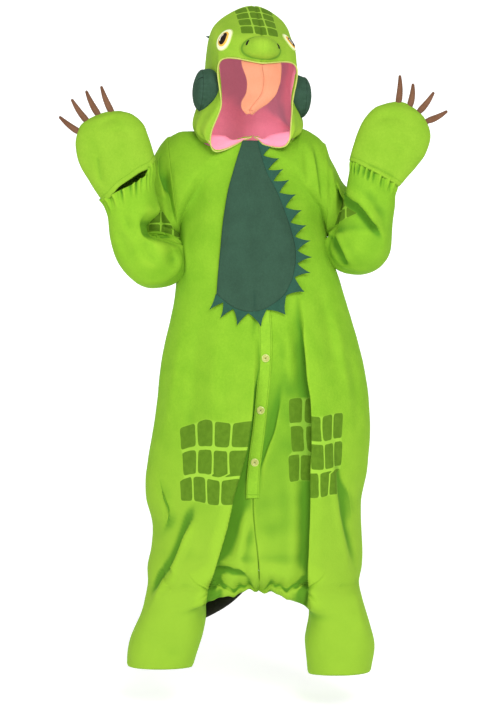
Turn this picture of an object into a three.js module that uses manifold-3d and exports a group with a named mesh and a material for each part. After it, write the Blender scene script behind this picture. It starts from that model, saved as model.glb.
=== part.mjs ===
// Lizard kigurumi in its worn form: a baggy fleece onesie whose hood is the animal's head.
// Millimetres, +Z up, the front faces -Y. The origin is the middle of the neck opening,
// where the wearer's shoulders carry the garment. Right and left are the wearer's, and
// the right side lies towards -X.
import * as THREE from "three";
import { mergeVertices } from "three/addons/utils/BufferGeometryUtils.js";
import Module from "manifold-3d";

const wasm = await Module();
wasm.setup();

// ---------------------------------------------------------------- driving dimensions
const CLOTH = 2; // fleece wall
const LINING = 1.5; // hood lining wall
const SEAM = 0.3; // gap between neighbouring pieces
const SIDES = { right: -1, left: 1 };

const NECK = { half_width: 112, front: 97, back: 73 };
const ARMHOLE = { segments: 16 };
const YOKE_ROWS = 8; // rows of a panel between the neckline and the bottom of the armhole
const SLEEVE_RINGS = 12; // steps along a sleeve from the armhole to the wrist
const BODY_ROWS = 29; // rows of a panel from the shoulder seam to the ankle hem
const BAND = { half_width: 15, first_row: 8, last_row: 19, thick: 1.8 };
const BUTTON = { radius: 8.75, thick: 3.5, count: 6, first_z: -149.5, pitch: 113.8 };
const CLAW = { base_radius: 7.5, tip_radius: 2.2, curl: 3 };
const HEAD = { yaw: 9.5, roll: 2.5, settle_height: 80 };
const EYE = { wide: 38, tall: 57, felt: 1.4 };
const SNOUT = { wide: 98, tall: 62, swell: 17 };
const EAR = { radius: 46, reach: 132, y: -42, z: 98, bevel: 11 };
const DEWLAP = { thick: 3, rows: 11, columns: 5, spike_thick: 2 };
const CREST = { thick: 3, first_row: 8.25, step: 0.25, rise: 26, flop: 66 };

// The body below the armholes, a row for each section: the side seams (distance out), the
// centre lines of front and back, and the angle at which a half section starts: 90 for a
// torso quarter, 0 for a leg's half ring.
const bodyAt = smoothTable("row", [
  { row: 8, right: 150, left: 178, right_z: -215, left_z: -218, middle: 0, front: -97, front_z: -14, back: 73, back_z: 26, start: 90 },
  { row: 10, right: 151, left: 193, right_z: -275, left_z: -275, middle: 14, front: -114, front_z: -165, back: 100, back_z: -150, start: 90 },
  { row: 12, right: 164, left: 226, right_z: -375, left_z: -375, middle: 31, front: -126, front_z: -325, back: 120, back_z: -325, start: 90 },
  { row: 14, right: 191, left: 259, right_z: -490, left_z: -490, middle: 41, front: -131, front_z: -480, back: 130, back_z: -480, start: 90 },
  { row: 16, right: 204, left: 276, right_z: -620, left_z: -620, middle: 29, front: -134, front_z: -615, back: 136, back_z: -615, start: 90 },
  { row: 18, right: 223, left: 268, right_z: -745, left_z: -745, middle: 15, front: -136, front_z: -740, back: 142, back_z: -740, start: 90 },
  { row: 19, right: 223, left: 256, right_z: -805, left_z: -805, middle: 13, front: -135, front_z: -798, back: 142, back_z: -800, start: 90 },
  { row: 20, right: 208, left: 257, right_z: -860, left_z: -860, middle: 17, front: -132, front_z: -862, back: 138, back_z: -862, start: 90 },
  { row: 21, right: 213, left: 260, right_z: -912, left_z: -912, middle: 24, front: -124, front_z: -924, back: 128, back_z: -926, start: 82 },
  { row: 22, right: 222, left: 259, right_z: -955, left_z: -955, middle: 27, front: -98, front_z: -972, back: 100, back_z: -980, start: 55 },
]);

// Each leg below the crotch: inseam and side seam, both as distance out to that side.
const legAt = {
  right: smoothTable("row", [
    { row: 23, inner: -26, inner_z: -1008, outer: 220, outer_z: -992, depth: 112 },
    { row: 24, inner: 30, inner_z: -1003, outer: 225, outer_z: -1026, depth: 102 },
    { row: 25, inner: 86, inner_z: -987, outer: 235, outer_z: -1057, depth: 92 },
    { row: 27, inner: 95, inner_z: -1088, outer: 263, outer_z: -1122, depth: 82 },
    { row: 29, inner: 121, inner_z: -1183, outer: 270, outer_z: -1177, depth: 74 },
  ]),
  left: smoothTable("row", [
    { row: 23, inner: 26, inner_z: -1008, outer: 251, outer_z: -992, depth: 112 },
    { row: 24, inner: 80, inner_z: -1018, outer: 257, outer_z: -1026, depth: 102 },
    { row: 25, inner: 136, inner_z: -1046, outer: 266, outer_z: -1060, depth: 92 },
    { row: 27, inner: 130, inner_z: -1126, outer: 284, outer_z: -1128, depth: 82 },
    { row: 29, inner: 136, inner_z: -1198, outer: 278, outer_z: -1190, depth: 74 },
  ]),
};

// The largest folds of the fronts: a line down the cloth through three places, how wide and
// deep the fold is, and which way the overlapping cloth lies: -1 right, 1 left, 0 a trough.
const FRONT_FOLDS = [
  { top_x: 8, top_z: -540, mid_x: -12, mid_z: -730, end_x: -80, end_z: -1000, width: 26, depth: 20, over: -1 },
  { top_x: 112, top_z: -330, mid_x: 146, mid_z: -600, end_x: 137, end_z: -1050, width: 34, depth: 20, over: 1 },
  { top_x: 76, top_z: -545, mid_x: 60, mid_z: -640, end_x: 34, end_z: -740, width: 26, depth: 7, over: 0 },
  { top_x: -118, top_z: -820, mid_x: -175, mid_z: -940, end_x: -225, end_z: -1090, width: 30, depth: 12, over: 0 },
  { top_x: 205, top_z: -800, mid_x: 232, mid_z: -900, end_x: 246, end_z: -1010, width: 26, depth: 10, over: 0 },
];

// Folds of the backs, like those of the fronts.
const BACK_FOLDS = [
  { top_x: -60, top_z: -420, mid_x: -80, mid_z: -700, end_x: -120, end_z: -1060, width: 44, depth: 14, over: -1 },
  { top_x: 110, top_z: -380, mid_x: 150, mid_z: -680, end_x: 165, end_z: -1080, width: 44, depth: 14, over: 1 },
  { top_x: 25, top_z: -560, mid_x: 30, mid_z: -740, end_x: 28, end_z: -960, width: 40, depth: 12, over: 0 },
];

// Sleeve sections from the armhole, round the elbow, to the gathered wrist: the middle
// (distance out, y, z), the turn of the ring from upright, its bend to the front, and its
// half sizes across and through.
const sleeveAt = {
  right: smoothTable("ring", [
    { ring: 0, out: 163.5, y: 0, z: -105, turn: 7, bend: 0, wide: 110.8, deep: 76 },
    { ring: 1, out: 178, y: 1, z: -122, turn: 15.5, bend: 0, wide: 95.5, deep: 75 },
    { ring: 2, out: 192, y: 3, z: -148, turn: 30, bend: 0, wide: 76, deep: 72 },
    { ring: 3, out: 201.5, y: 5, z: -176, turn: 51, bend: 0, wide: 59.5, deep: 67 },
    { ring: 4, out: 208, y: 6, z: -205, turn: 80, bend: 8, wide: 51.5, deep: 62 },
    { ring: 5, out: 209, y: -6, z: -251, turn: 89, bend: 40, wide: 54, deep: 60 },
    { ring: 6, out: 211, y: -35, z: -272, turn: 90, bend: 75, wide: 57, deep: 60 },
    { ring: 7, out: 214, y: -66, z: -273, turn: 92, bend: 105, wide: 62, deep: 60 },
    { ring: 8, out: 226, y: -90, z: -257, turn: 98, bend: 132, wide: 64, deep: 58 },
    { ring: 9, out: 242, y: -116, z: -206, turn: 110, bend: 150, wide: 62, deep: 51 },
    { ring: 10, out: 251, y: -136, z: -155, turn: 122, bend: 167, wide: 60, deep: 42 },
    { ring: 11, out: 251.6, y: -149.6, z: -109, turn: 132, bend: 180, wide: 39, deep: 25.8 },
    { ring: 12, out: 261, y: -149.6, z: -98.2, turn: 132, bend: 180, wide: 39, deep: 25.8 },
  ]),
  left: smoothTable("ring", [
    { ring: 0, out: 177.5, y: 0, z: -108, turn: 0, bend: 0, wide: 110, deep: 76 },
    { ring: 1, out: 188.5, y: 1, z: -133, turn: 3, bend: 0, wide: 85.4, deep: 75 },
    { ring: 2, out: 201.5, y: 3, z: -158, turn: 13.6, bend: 0, wide: 61.7, deep: 71 },
    { ring: 3, out: 223.5, y: 5, z: -176, turn: 39, bend: 0, wide: 53.1, deep: 66 },
    { ring: 4, out: 239, y: 6, z: -197, turn: 69, bend: 8, wide: 52, deep: 61 },
    { ring: 5, out: 246, y: -6, z: -227, turn: 90, bend: 40, wide: 59, deep: 57 },
    { ring: 6, out: 249, y: -35, z: -245, turn: 94, bend: 75, wide: 61, deep: 57 },
    { ring: 7, out: 254, y: -65, z: -245, turn: 98, bend: 105, wide: 62, deep: 57 },
    { ring: 8, out: 258, y: -88, z: -231, turn: 102, bend: 132, wide: 61, deep: 55 },
    { ring: 9, out: 262, y: -114, z: -190, turn: 107, bend: 150, wide: 56, deep: 50 },
    { ring: 10, out: 268, y: -136, z: -142, turn: 112, bend: 167, wide: 53, deep: 42 },
    { ring: 11, out: 272.4, y: -149.6, z: -97, turn: 118, bend: 180, wide: 49, deep: 25.8 },
    { ring: 12, out: 279, y: -149.6, z: -84.7, turn: 118, bend: 180, wide: 49, deep: 25.8 },
  ]),
};

// Paw mitt sections from the hem to the tip: the outer and inner edge of each (distance
// out, height) and how far palm and back swell from the paw's middle plane.
const PAW_Y = -150;
const pawAt = {
  right: smoothTable("row", [
    { row: 0, outer: 311, outer_z: -152, inner: 200, inner_z: -57, palm: 36, back: 29 },
    { row: 2, outer: 338, outer_z: -114, inner: 208, inner_z: -25, palm: 37, back: 33 },
    { row: 4, outer: 361, outer_z: -74, inner: 215, inner_z: -5, palm: 36, back: 34 },
    { row: 6, outer: 371, outer_z: -31, inner: 226, inner_z: 18, palm: 31, back: 31 },
    { row: 8, outer: 363, outer_z: 8, inner: 250, inner_z: 39, palm: 20, back: 20 },
    { row: 9, outer: 347, outer_z: 25, inner: 277, inner_z: 46, palm: 0, back: 0 },
  ]),
  left: smoothTable("row", [
    { row: 0, outer: 329, outer_z: -121, inner: 221, inner_z: -63, palm: 30, back: 29 },
    { row: 2, outer: 361, outer_z: -84, inner: 231, inner_z: -28, palm: 35, back: 33 },
    { row: 4, outer: 386, outer_z: -48, inner: 241, inner_z: 2, palm: 36, back: 34 },
    { row: 6, outer: 397, outer_z: -9, inner: 255, inner_z: 29, palm: 31, back: 31 },
    { row: 8, outer: 385, outer_z: 30, inner: 278, inner_z: 52, palm: 20, back: 20 },
    { row: 9, outer: 367, outer_z: 49, inner: 303, inner_z: 62, palm: 0, back: 0 },
  ]),
};

// Claws: where each one's root meets the mitt's edge (distance out, height), the way it
// points, in degrees from straight up towards the outside, and how long it is.
const CLAWS = {
  right: [
    { out: 362, z: -2, point: 52, length: 57 },
    { out: 345, z: 21, point: 35, length: 61 },
    { out: 321, z: 35, point: 27, length: 61 },
    { out: 292, z: 40, point: 22, length: 64 },
  ],
  left: [
    { out: 328, z: 61, point: 3, length: 62 },
    { out: 353, z: 55, point: 8, length: 50 },
    { out: 373, z: 43, point: 37, length: 54 },
    { out: 392, z: 23, point: 63, length: 48 },
  ],
};

// Hood arches, from the face opening to the nape, keyed by where each starts round the
// neckline: places low at the side, level with the ear and high at the side, and the top.
const hoodAt = smoothTable("angle", [
  { angle: 0, low_x: 73, low_y: -104, low_z: -36, ear_x: 77, ear_y: -106, ear_z: 62, high_x: 83, high_y: -110, high_z: 156, top_y: -152, top_z: 150 },
  { angle: 12, low_x: 92, low_y: -98, low_z: -8, ear_x: 80, ear_y: -100, ear_z: 84, high_x: 85, high_y: -104, high_z: 180, top_y: -155, top_z: 180 },
  { angle: 24, low_x: 108, low_y: -80, low_z: 6, ear_x: 84, ear_y: -84, ear_z: 100, high_x: 87, high_y: -93, high_z: 202, top_y: -142, top_z: 209 },
  { angle: 48, low_x: 120, low_y: -45, low_z: 22, ear_x: 92, ear_y: -48, ear_z: 110, high_x: 90, high_y: -48, high_z: 236, top_y: -80, top_z: 261 },
  { angle: 72, low_x: 121, low_y: -8, low_z: 36, ear_x: 102, ear_y: -4, ear_z: 130, high_x: 88, high_y: -2, high_z: 246, top_y: -14, top_z: 300 },
  { angle: 96, low_x: 113, low_y: 36, low_z: 44, ear_x: 98, ear_y: 48, ear_z: 120, high_x: 78, high_y: 66, high_z: 212, top_y: 80, top_z: 276 },
  { angle: 108, low_x: 101, low_y: 60, low_z: 38, ear_x: 86, ear_y: 76, ear_z: 82, high_x: 62, high_y: 98, high_z: 144, top_y: 122, top_z: 180 },
  { angle: 120, low_x: 84, low_y: 42, low_z: 24, ear_x: 64, ear_y: 57, ear_z: 25, high_x: 40, high_y: 67, high_z: 26, top_y: 73, top_z: 28 },
]);
const HOOD_ROWS = 10;
const HOOD_COLUMNS = 6;
const HOOD_LAST_ANGLE = 120;

// Tongue sections down from the mouth's edge, in the head's own directions.
const TONGUE = [
  { z: 138, left: -41, right: 47, y: -150 },
  { z: 116, left: -33, right: 44, y: -157 },
  { z: 98, left: -31, right: 39, y: -160 },
  { z: 80, left: -33, right: 32, y: -161 },
  { z: 62, left: -42, right: 17, y: -163 },
  { z: 46, left: -42, right: -4, y: -167 },
  { z: 33, left: -30, right: -19, y: -171 },
];

// Throat flap: its left and right edges at each height, as it hangs from the neckline.
const dewlapAt = smoothTable("row", [
  { row: 0, right: -14, left: 14, z: -24 },
  { row: 2, right: -32, left: 38, z: -80 },
  { row: 4, right: -43, left: 68, z: -130 },
  { row: 6, right: -53, left: 92, z: -195 },
  { row: 8, right: -59, left: 107, z: -255 },
  { row: 10, right: -64, left: 101, z: -312 },
  { row: 11, right: -67, left: 84, z: -350 },
]);

// Tail: its middle line from the seat, down behind the crotch and off to the right.
const TAIL = [
  { x: 22, y: 128, z: -800, radius: 33 },
  { x: 20, y: 158, z: -850, radius: 31 },
  { x: 14, y: 164, z: -930, radius: 27 },
  { x: 0, y: 158, z: -990, radius: 22 },
  { x: -40, y: 150, z: -1040, radius: 18.5 },
  { x: -96, y: 141, z: -1078, radius: 16 },
  { x: -146, y: 132, z: -1098, radius: 12.5 },
  { x: -184, y: 124, z: -1106, radius: 8 },
];

// ------------------------------------------------------------------------- small tools
const radians = THREE.MathUtils.degToRad;
const mix = THREE.MathUtils.lerp;
const vec = (x, y, z) => new THREE.Vector3(x, y, z);

// Smooth values between the rows of a table, for every column.
function smoothTable(key, rows) {
  const slope = (column, i) => {
    const before = rows[Math.max(i - 1, 0)];
    const after = rows[Math.min(i + 1, rows.length - 1)];
    return (after[column] - before[column]) / (after[key] - before[key]);
  };
  return (value) => {
    let i = 0;
    while (i < rows.length - 2 && value > rows[i + 1][key]) i += 1;
    const step = rows[i + 1][key] - rows[i][key];
    const t = Math.min(Math.max((value - rows[i][key]) / step, 0), 1);
    const ease = t * t * (3 - 2 * t);
    const found = {};
    for (const column of Object.keys(rows[0])) {
      const leave = slope(column, i) * step * t * (1 - t) ** 2;
      const arrive = slope(column, i + 1) * step * t * t * (1 - t);
      found[column] = mix(rows[i][column], rows[i + 1][column], ease) + leave - arrive;
    }
    return found;
  };
}

function pointGrid(rows, columns, pointAt) {
  return Array.from({ length: rows + 1 }, (_, i) =>
    Array.from({ length: columns + 1 }, (_, j) => pointAt(i, j)));
}

// Normals of a grid of points, turned to the way that `facing` points.
function gridNormals(points, closed, facing) {
  const rows = points.length;
  const columns = points[0].length;
  const around = (j) => (closed ? (j + columns) % columns : Math.min(Math.max(j, 0), columns - 1));
  const normals = points.map((row, i) => row.map((_, j) => {
    const down = points[Math.min(i + 1, rows - 1)][j].clone().sub(points[Math.max(i - 1, 0)][j]);
    const across = points[i][around(j + 1)].clone().sub(points[i][around(j - 1)]);
    return down.cross(across).normalize();
  }));
  let agreement = 0;
  normals.forEach((row, i) => row.forEach((n, j) => {
    agreement += n.dot(facing(points[i][j]));
  }));
  if (agreement < 0) normals.forEach((row) => row.forEach((n) => n.negate()));
  return normals;
}

function geometryFrom(corners, triangles) {
  const geometry = new THREE.BufferGeometry();
  const flat = corners.flatMap((p) => [p.x, p.y, p.z]);
  geometry.setAttribute("position", new THREE.Float32BufferAttribute(flat, 3));
  geometry.setIndex(triangles.flat());
  return geometry;
}

function volumeOf(corners, triangles) {
  let volume = 0;
  for (const [a, b, c] of triangles) {
    volume += corners[a].dot(corners[b].clone().cross(corners[c])) / 6;
  }
  return volume;
}

function closedGeometry(corners, triangles) {
  if (volumeOf(corners, triangles) < 0) triangles.forEach((t) => t.reverse());
  return geometryFrom(corners, triangles);
}

// A wall of cloth on a grid of points, from `outer` to `inner` along the normals. Its edges
// stand back by `inset` (first row, last row, first column, last column).
function wall(piece, outer = 0, inner = -CLOTH, inset = [SEAM / 2, SEAM / 2, SEAM / 2, SEAM / 2]) {
  const { points, normals, closed } = piece;
  const rows = points.length;
  const columns = points[0].length;
  const pull = (i, j) => {
    const move = vec(0, 0, 0);
    const towards = (row, column, amount) => {
      const way = points[row][column].clone().sub(points[i][j]).normalize();
      move.addScaledVector(way, amount);
    };
    if (i === 0) towards(1, j, inset[0]);
    if (i === rows - 1) towards(rows - 2, j, inset[1]);
    if (!closed && j === 0) towards(i, 1, inset[2]);
    if (!closed && j === columns - 1) towards(i, columns - 2, inset[3]);
    return move;
  };
  const corners = [];
  for (const offset of [outer, inner]) {
    points.forEach((row, i) => row.forEach((p, j) => {
      corners.push(p.clone().addScaledVector(normals[i][j], offset).add(pull(i, j)));
    }));
  }
  const half = rows * columns;
  const at = (i, j, layer) => layer * half + i * columns + (j % columns);
  const lastColumn = closed ? columns : columns - 1;
  const triangles = [];
  // Each quad is split along its shorter diagonal, so that neighbours split alike.
  const quad = (a, b, c, d) => {
    if (corners[a].distanceTo(corners[c]) < corners[b].distanceTo(corners[d])) {
      triangles.push([a, b, c], [a, c, d]);
    } else {
      triangles.push([a, b, d], [b, c, d]);
    }
  };
  for (let i = 0; i < rows - 1; i += 1) {
    for (let j = 0; j < lastColumn; j += 1) {
      quad(at(i, j, 0), at(i + 1, j, 0), at(i + 1, j + 1, 0), at(i, j + 1, 0));
      quad(at(i, j, 1), at(i, j + 1, 1), at(i + 1, j + 1, 1), at(i + 1, j, 1));
    }
    if (!closed) {
      quad(at(i, 0, 1), at(i + 1, 0, 1), at(i + 1, 0, 0), at(i, 0, 0));
      quad(at(i, columns - 1, 0), at(i + 1, columns - 1, 0), at(i + 1, columns - 1, 1), at(i, columns - 1, 1));
    }
  }
  for (let j = 0; j < lastColumn; j += 1) {
    quad(at(0, j, 0), at(0, j + 1, 0), at(0, j + 1, 1), at(0, j, 1));
    quad(at(rows - 1, j, 1), at(rows - 1, j + 1, 1), at(rows - 1, j + 1, 0), at(rows - 1, j, 0));
  }
  return closedGeometry(corners, triangles);
}

// A solid through a row of closed rings of points, with flat ends.
function loft(rings) {
  const around = rings[0].length;
  const corners = rings.flat();
  const triangles = [];
  for (let i = 0; i < rings.length - 1; i += 1) {
    for (let j = 0; j < around; j += 1) {
      const a = i * around + j;
      const b = i * around + ((j + 1) % around);
      triangles.push([a, b, b + around], [a, b + around, a + around]);
    }
  }
  const end = (first, reverse) => {
    const middle = vec(0, 0, 0);
    for (let j = 0; j < around; j += 1) middle.addScaledVector(corners[first + j], 1 / around);
    corners.push(middle);
    for (let j = 0; j < around; j += 1) {
      const face = [first + j, first + ((j + 1) % around), corners.length - 1];
      triangles.push(reverse ? face.reverse() : face);
    }
  };
  end(0, true);
  end((rings.length - 1) * around, false);
  return closedGeometry(corners, triangles);
}

// A toothed strip of felt: an edge line, the valleys a little beyond it, and a tip over the
// middle of each step. `over` gives the way through the felt at each place.
function toothedStrip(edge, valleys, tips, over, thick) {
  const corners = [];
  const layer = (offset) => {
    edge.forEach((p, k) => corners.push(p.clone().addScaledVector(over[k], offset)));
    valleys.forEach((p, k) => corners.push(p.clone().addScaledVector(over[k], offset)));
    tips.forEach((p, k) => {
      const way = over[k].clone().add(over[k + 1]).normalize();
      corners.push(p.clone().addScaledVector(way, offset));
    });
  };
  layer(0);
  layer(thick);
  const places = edge.length;
  const half = 2 * places + tips.length;
  const faces = [];
  for (let k = 0; k < tips.length; k += 1) {
    const [v0, v1, tip] = [places + k, places + k + 1, 2 * places + k];
    faces.push([k, k + 1, v1], [k, v1, v0], [v0, v1, tip]);
  }
  const rim = [];
  for (let k = 0; k < places; k += 1) rim.push(k);
  for (let k = places - 1; k > 0; k -= 1) rim.push(places + k, 2 * places + k - 1);
  rim.push(places);
  const triangles = [];
  faces.forEach(([a, b, c]) => triangles.push([a, b, c], [a + half, c + half, b + half]));
  rim.forEach((a, k) => {
    const b = rim[(k + 1) % rim.length];
    triangles.push([b, a, a + half], [b, a + half, b + half]);
  });
  return closedGeometry(corners, triangles);
}

function solidOf(geometry) {
  const bare = mergeVertices(geometry, 1e-5);
  return new wasm.Manifold(new wasm.Mesh({
    numProp: 3,
    vertProperties: new Float32Array(bare.attributes.position.array),
    triVerts: new Uint32Array(bare.index.array),
  }));
}

// A piece cut back where it would touch the cloth that carries it.
function seated(geometry, ...carriers) {
  let solid = solidOf(geometry);
  for (const carrier of carriers) solid = solid.subtract(solidOf(carrier));
  const parts = solid.decompose();
  const largest = parts.reduce((best, part) => (part.volume() > best.volume() ? part : best));
  const { vertProperties, triVerts } = largest.getMesh();
  const cut = new THREE.BufferGeometry();
  cut.setAttribute("position", new THREE.Float32BufferAttribute(vertProperties, 3));
  cut.setIndex(new THREE.Uint32BufferAttribute(triVerts, 1));
  return cut;
}

// --------------------------------------------------------------------------- materials
const fleece = (color) => new THREE.MeshStandardMaterial({ color, roughness: 0.95, metalness: 0 });
const MATERIALS = {
  green: fleece(0x8fcc30),
  dark_green: fleece(0x3c5f4b),
  spike_green: fleece(0x325e4b),
  pink: fleece(0xdc8ca3),
  peach: fleece(0xeeae8a),
  brown: fleece(0x8a6248),
  black: fleece(0x1a1b15),
  eye_white: fleece(0xf4f4e0),
  eye_yellow: fleece(0xe9d27a),
  button: new THREE.MeshStandardMaterial({ color: 0xcae770, roughness: 0.4, metalness: 0 }),
};
const group = new THREE.Group();

function add(name, geometry, material) {
  const mesh = new THREE.Mesh(geometry, MATERIALS[material]);
  mesh.name = name;
  group.add(mesh);
}

// ---------------------------------------------------------------- neckline and armholes
// A place on the neckline: 0 is the front, 90 the side, 180 the back.
function neckline(side, angle) {
  const a = radians(angle);
  const middleY = (NECK.back - NECK.front) / 2;
  const reach = (NECK.back + NECK.front) / 2;
  const dip = angle < 90 ? 18 * Math.sin(2 * a) ** 2 : 0;
  const x = SIDES[side] * NECK.half_width * Math.sin(a);
  return vec(x, middleY - reach * Math.cos(a), 6 - 20 * Math.cos(a) + 7 * Math.sin(a) - dip);
}

// A place on a sleeve ring: 0 is its outer or top edge, 180 the armpit edge, 90 the back.
function sleevePoint(side, ring, angle) {
  const s = sleeveAt[side](ring);
  const turn = radians(s.turn);
  const bend = radians(s.bend);
  const across = vec(Math.sin(turn), 0, Math.cos(turn));
  const dropped = vec(Math.cos(turn), 0, -Math.sin(turn));
  const through = vec(0, Math.cos(bend), 0).addScaledVector(dropped, Math.sin(bend));
  const a = radians(angle);
  const p = vec(s.out, s.y, s.z);
  p.addScaledVector(across, s.wide * Math.cos(a));
  p.addScaledVector(through, s.deep * Math.sin(a));
  p.x *= SIDES[side];
  return p;
}

// --------------------------------------------------------------------------- body panels
// How far the cloth stands out at a place, from the folds near it.
function foldDepth(folds, x, z) {
  let depth = 0;
  for (const fold of folds) {
    if (z < fold.top_z && z > fold.end_z) {
      const t = (fold.top_z - z) / (fold.top_z - fold.end_z);
      const m = (fold.top_z - fold.mid_z) / (fold.top_z - fold.end_z);
      const first = mix(fold.top_x, fold.mid_x, t / m);
      const second = mix(fold.mid_x, fold.end_x, (t - m) / (1 - m));
      const line = mix(first, second, t);
      const off = (x - line) / fold.width;
      const taper = Math.sin(Math.PI * Math.sqrt(t)) ** 0.7;
      if (fold.over === 0) {
        depth -= fold.depth * taper * Math.exp(-off * off);
      } else {
        const lap = off * fold.over;
        const raised = 0.5 + 0.5 * Math.tanh(3 * lap);
        depth += fold.depth * taper * (raised * Math.exp(-Math.abs(lap) / 2.5) - 0.4 * Math.exp(-lap * lap));
      }
    }
  }
  return depth;
}

// Both ends of a panel's row, and the shape between them.
function panelRow(side, face, row) {
  const sign = SIDES[side];
  if (row <= YOKE_ROWS) {
    const t = row / YOKE_ROWS;
    const backAngle = row <= 2 ? 96 + 12 * row : 120 + 10 * (row - 2);
    const inner = neckline(side, face === "front" ? 96 - 12 * row : backAngle);
    const step = 360 / ARMHOLE.segments;
    const outer = sleevePoint(side, 0, (face === "front" ? -step : step) * row);
    return { inner, outer, start: 90, swell: 104 * t, round: t };
  }
  if (row < 23) {
    const b = bodyAt(row);
    const y = face === "front" ? b.front : b.back;
    const z = face === "front" ? b.front_z : b.back_z;
    return {
      inner: vec(b.middle, y, z),
      outer: vec(sign * b[side], 0, b[`${side}_z`]),
      start: b.start,
      swell: row < 22 ? Math.abs(y) : Math.abs(y) + 18,
      round: 1,
    };
  }
  const leg = legAt[side](row);
  return {
    inner: vec(sign * leg.inner, 0, leg.inner_z),
    outer: vec(sign * leg.outer, 0, leg.outer_z),
    start: 0,
    swell: leg.depth,
    round: 1,
  };
}

// Share of the way across a panel at a column: the first column is the width of the band.
function columnShare(columns, row, width, column) {
  const even = column / columns;
  if (column === 0 || column === columns || row > 22) return even;
  const first = (2 / Math.PI) * Math.asin(BAND.half_width / width);
  const narrow = first + ((1 - first) * (column - 1)) / (columns - 1);
  return row <= 20 ? narrow : mix(narrow, even, (row - 20) / 3);
}

function panelPoint(side, face, columns, row, column) {
  const shape = panelRow(side, face, row);
  const { inner, outer } = shape;
  const width = Math.abs(outer.x - inner.x);
  const u = columnShare(columns, row, width, column);
  const start = radians(shape.start);
  const angle = mix(start, Math.PI, u);
  const along = (Math.cos(start) - Math.cos(angle)) / (1 + Math.cos(start));
  const out = Math.sin(angle) - Math.sin(start) * (1 - u);
  const forward = face === "front" ? -1 : 1;
  const p = inner.clone().lerp(outer, u);
  p.x = mix(p.x, mix(inner.x, outer.x, along), shape.round);
  p.y += forward * shape.swell * out * shape.round;
  const folds = face === "front" ? FRONT_FOLDS : BACK_FOLDS;
  p.y += forward * foldDepth(folds, p.x, p.z) * Math.sin(angle) * Math.min(row / 4, 1);
  return p;
}

// --------------------------------------------------------------------------------- hood
// The head is turned and tilted: a place in its own directions, moved to where it is.
function turned(p, share = 1) {
  const yaw = radians(HEAD.yaw) * share;
  const roll = radians(HEAD.roll) * share;
  return p.clone().applyAxisAngle(vec(0, 0, 1), yaw).applyAxisAngle(vec(0, 1, 0), roll);
}

function hoodPoint(side, angle, share) {
  const h = hoodAt(angle);
  const sign = SIDES[side];
  const foot = neckline(side, angle);
  const low = vec(sign * h.low_x, h.low_y, h.low_z);
  const ear = vec(sign * h.ear_x, h.ear_y, h.ear_z);
  const high = vec(sign * h.high_x, h.high_y, h.high_z);
  const top = vec(0, h.top_y, h.top_z);
  const mirror = (p) => vec(-p.x, p.y, p.z);
  const half = [foot, low, ear, high];
  const places = [...half, top, ...half.map(mirror).reverse()];
  const arch = new THREE.CatmullRomCurve3(places, false, "centripetal");
  const p = arch.getPointAt(share / 2);
  const height = Math.min(Math.max((p.z - foot.z) / HEAD.settle_height, 0), 1);
  return turned(p, height * height * (3 - 2 * height));
}

function hoodGridPoint(side, row, column) {
  const angle = (row * HOOD_LAST_ANGLE) / HOOD_ROWS;
  if (column === 0) return neckline(side, angle);
  if (row === HOOD_ROWS) return neckline(side, HOOD_LAST_ANGLE + (60 * column) / HOOD_COLUMNS);
  return hoodPoint(side, angle, column / HOOD_COLUMNS);
}

// --------------------------------------------------------------------------------- paws
function pawPoint(side, face, row, column) {
  const s = pawAt[side](row);
  const a = (Math.PI * column) / 8;
  const share = (1 - Math.cos(a)) / 2;
  const swell = face === "palm" ? -s.palm : s.back;
  const p = vec(mix(s.outer, s.inner, share), PAW_Y + swell * Math.sin(a), mix(s.outer_z, s.inner_z, share));
  p.x *= SIDES[side];
  return p;
}

// -------------------------------------------------------------- the cloth, sewn together
// Every panel's grid of points is made first. Where two panels share a seam they share its
// points, and the mean of their normals there, so that their walls lie side by side.
const cloth = {};
function cut(name, points, closed, facing) {
  cloth[name] = { points, closed, normals: gridNormals(points, closed, facing) };
}

for (const side of Object.keys(SIDES)) {
  const sign = SIDES[side];
  const axisAt = (p) => vec(p.z < -1000 ? sign * 190 : 20, 0, p.z);
  const outward = (p) => p.clone().sub(axisAt(p));
  for (const [face, columns] of [["front", 9], ["back", 7]]) {
    const points = pointGrid(BODY_ROWS, columns, (i, j) => panelPoint(side, face, columns, i, j));
    cut(`${face}_${side}`, points, false, outward);
  }
  const segments = ARMHOLE.segments;
  const rings = pointGrid(SLEEVE_RINGS, segments - 1, (i, j) => sleevePoint(side, i, (360 * j) / segments));
  const sleeveAxis = (p) => p.clone().sub(vec(sign * 225, -60, -190));
  cut(`sleeve_${side}`, rings, true, sleeveAxis);
  for (const face of ["palm", "back"]) {
    const points = pointGrid(9, 8, (i, j) => pawPoint(side, face, i, j));
    cut(`paw_${face}_${side}`, points, false, (p) => p.clone().sub(vec(p.x, PAW_Y, p.z)));
  }
  const hood = pointGrid(HOOD_ROWS, HOOD_COLUMNS, (i, j) => hoodGridPoint(side, i, j));
  cut(`hood_${side}`, hood, false, (p) => p.clone().sub(vec(0, 0, 120)));
}

function sewTogether(pieces) {
  const shared = new Map();
  const keyOf = (p) => p.toArray().map((v) => Math.round(v * 20)).join();
  for (const piece of pieces) {
    piece.points.forEach((row, i) => row.forEach((p, j) => {
      const key = keyOf(p);
      if (!shared.has(key)) shared.set(key, vec(0, 0, 0));
      shared.get(key).add(piece.normals[i][j]);
    }));
  }
  for (const piece of pieces) {
    piece.normals = piece.points.map((row) => row.map((p) => shared.get(keyOf(p)).clone().normalize()));
  }
}
sewTogether(Object.values(cloth));

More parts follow.
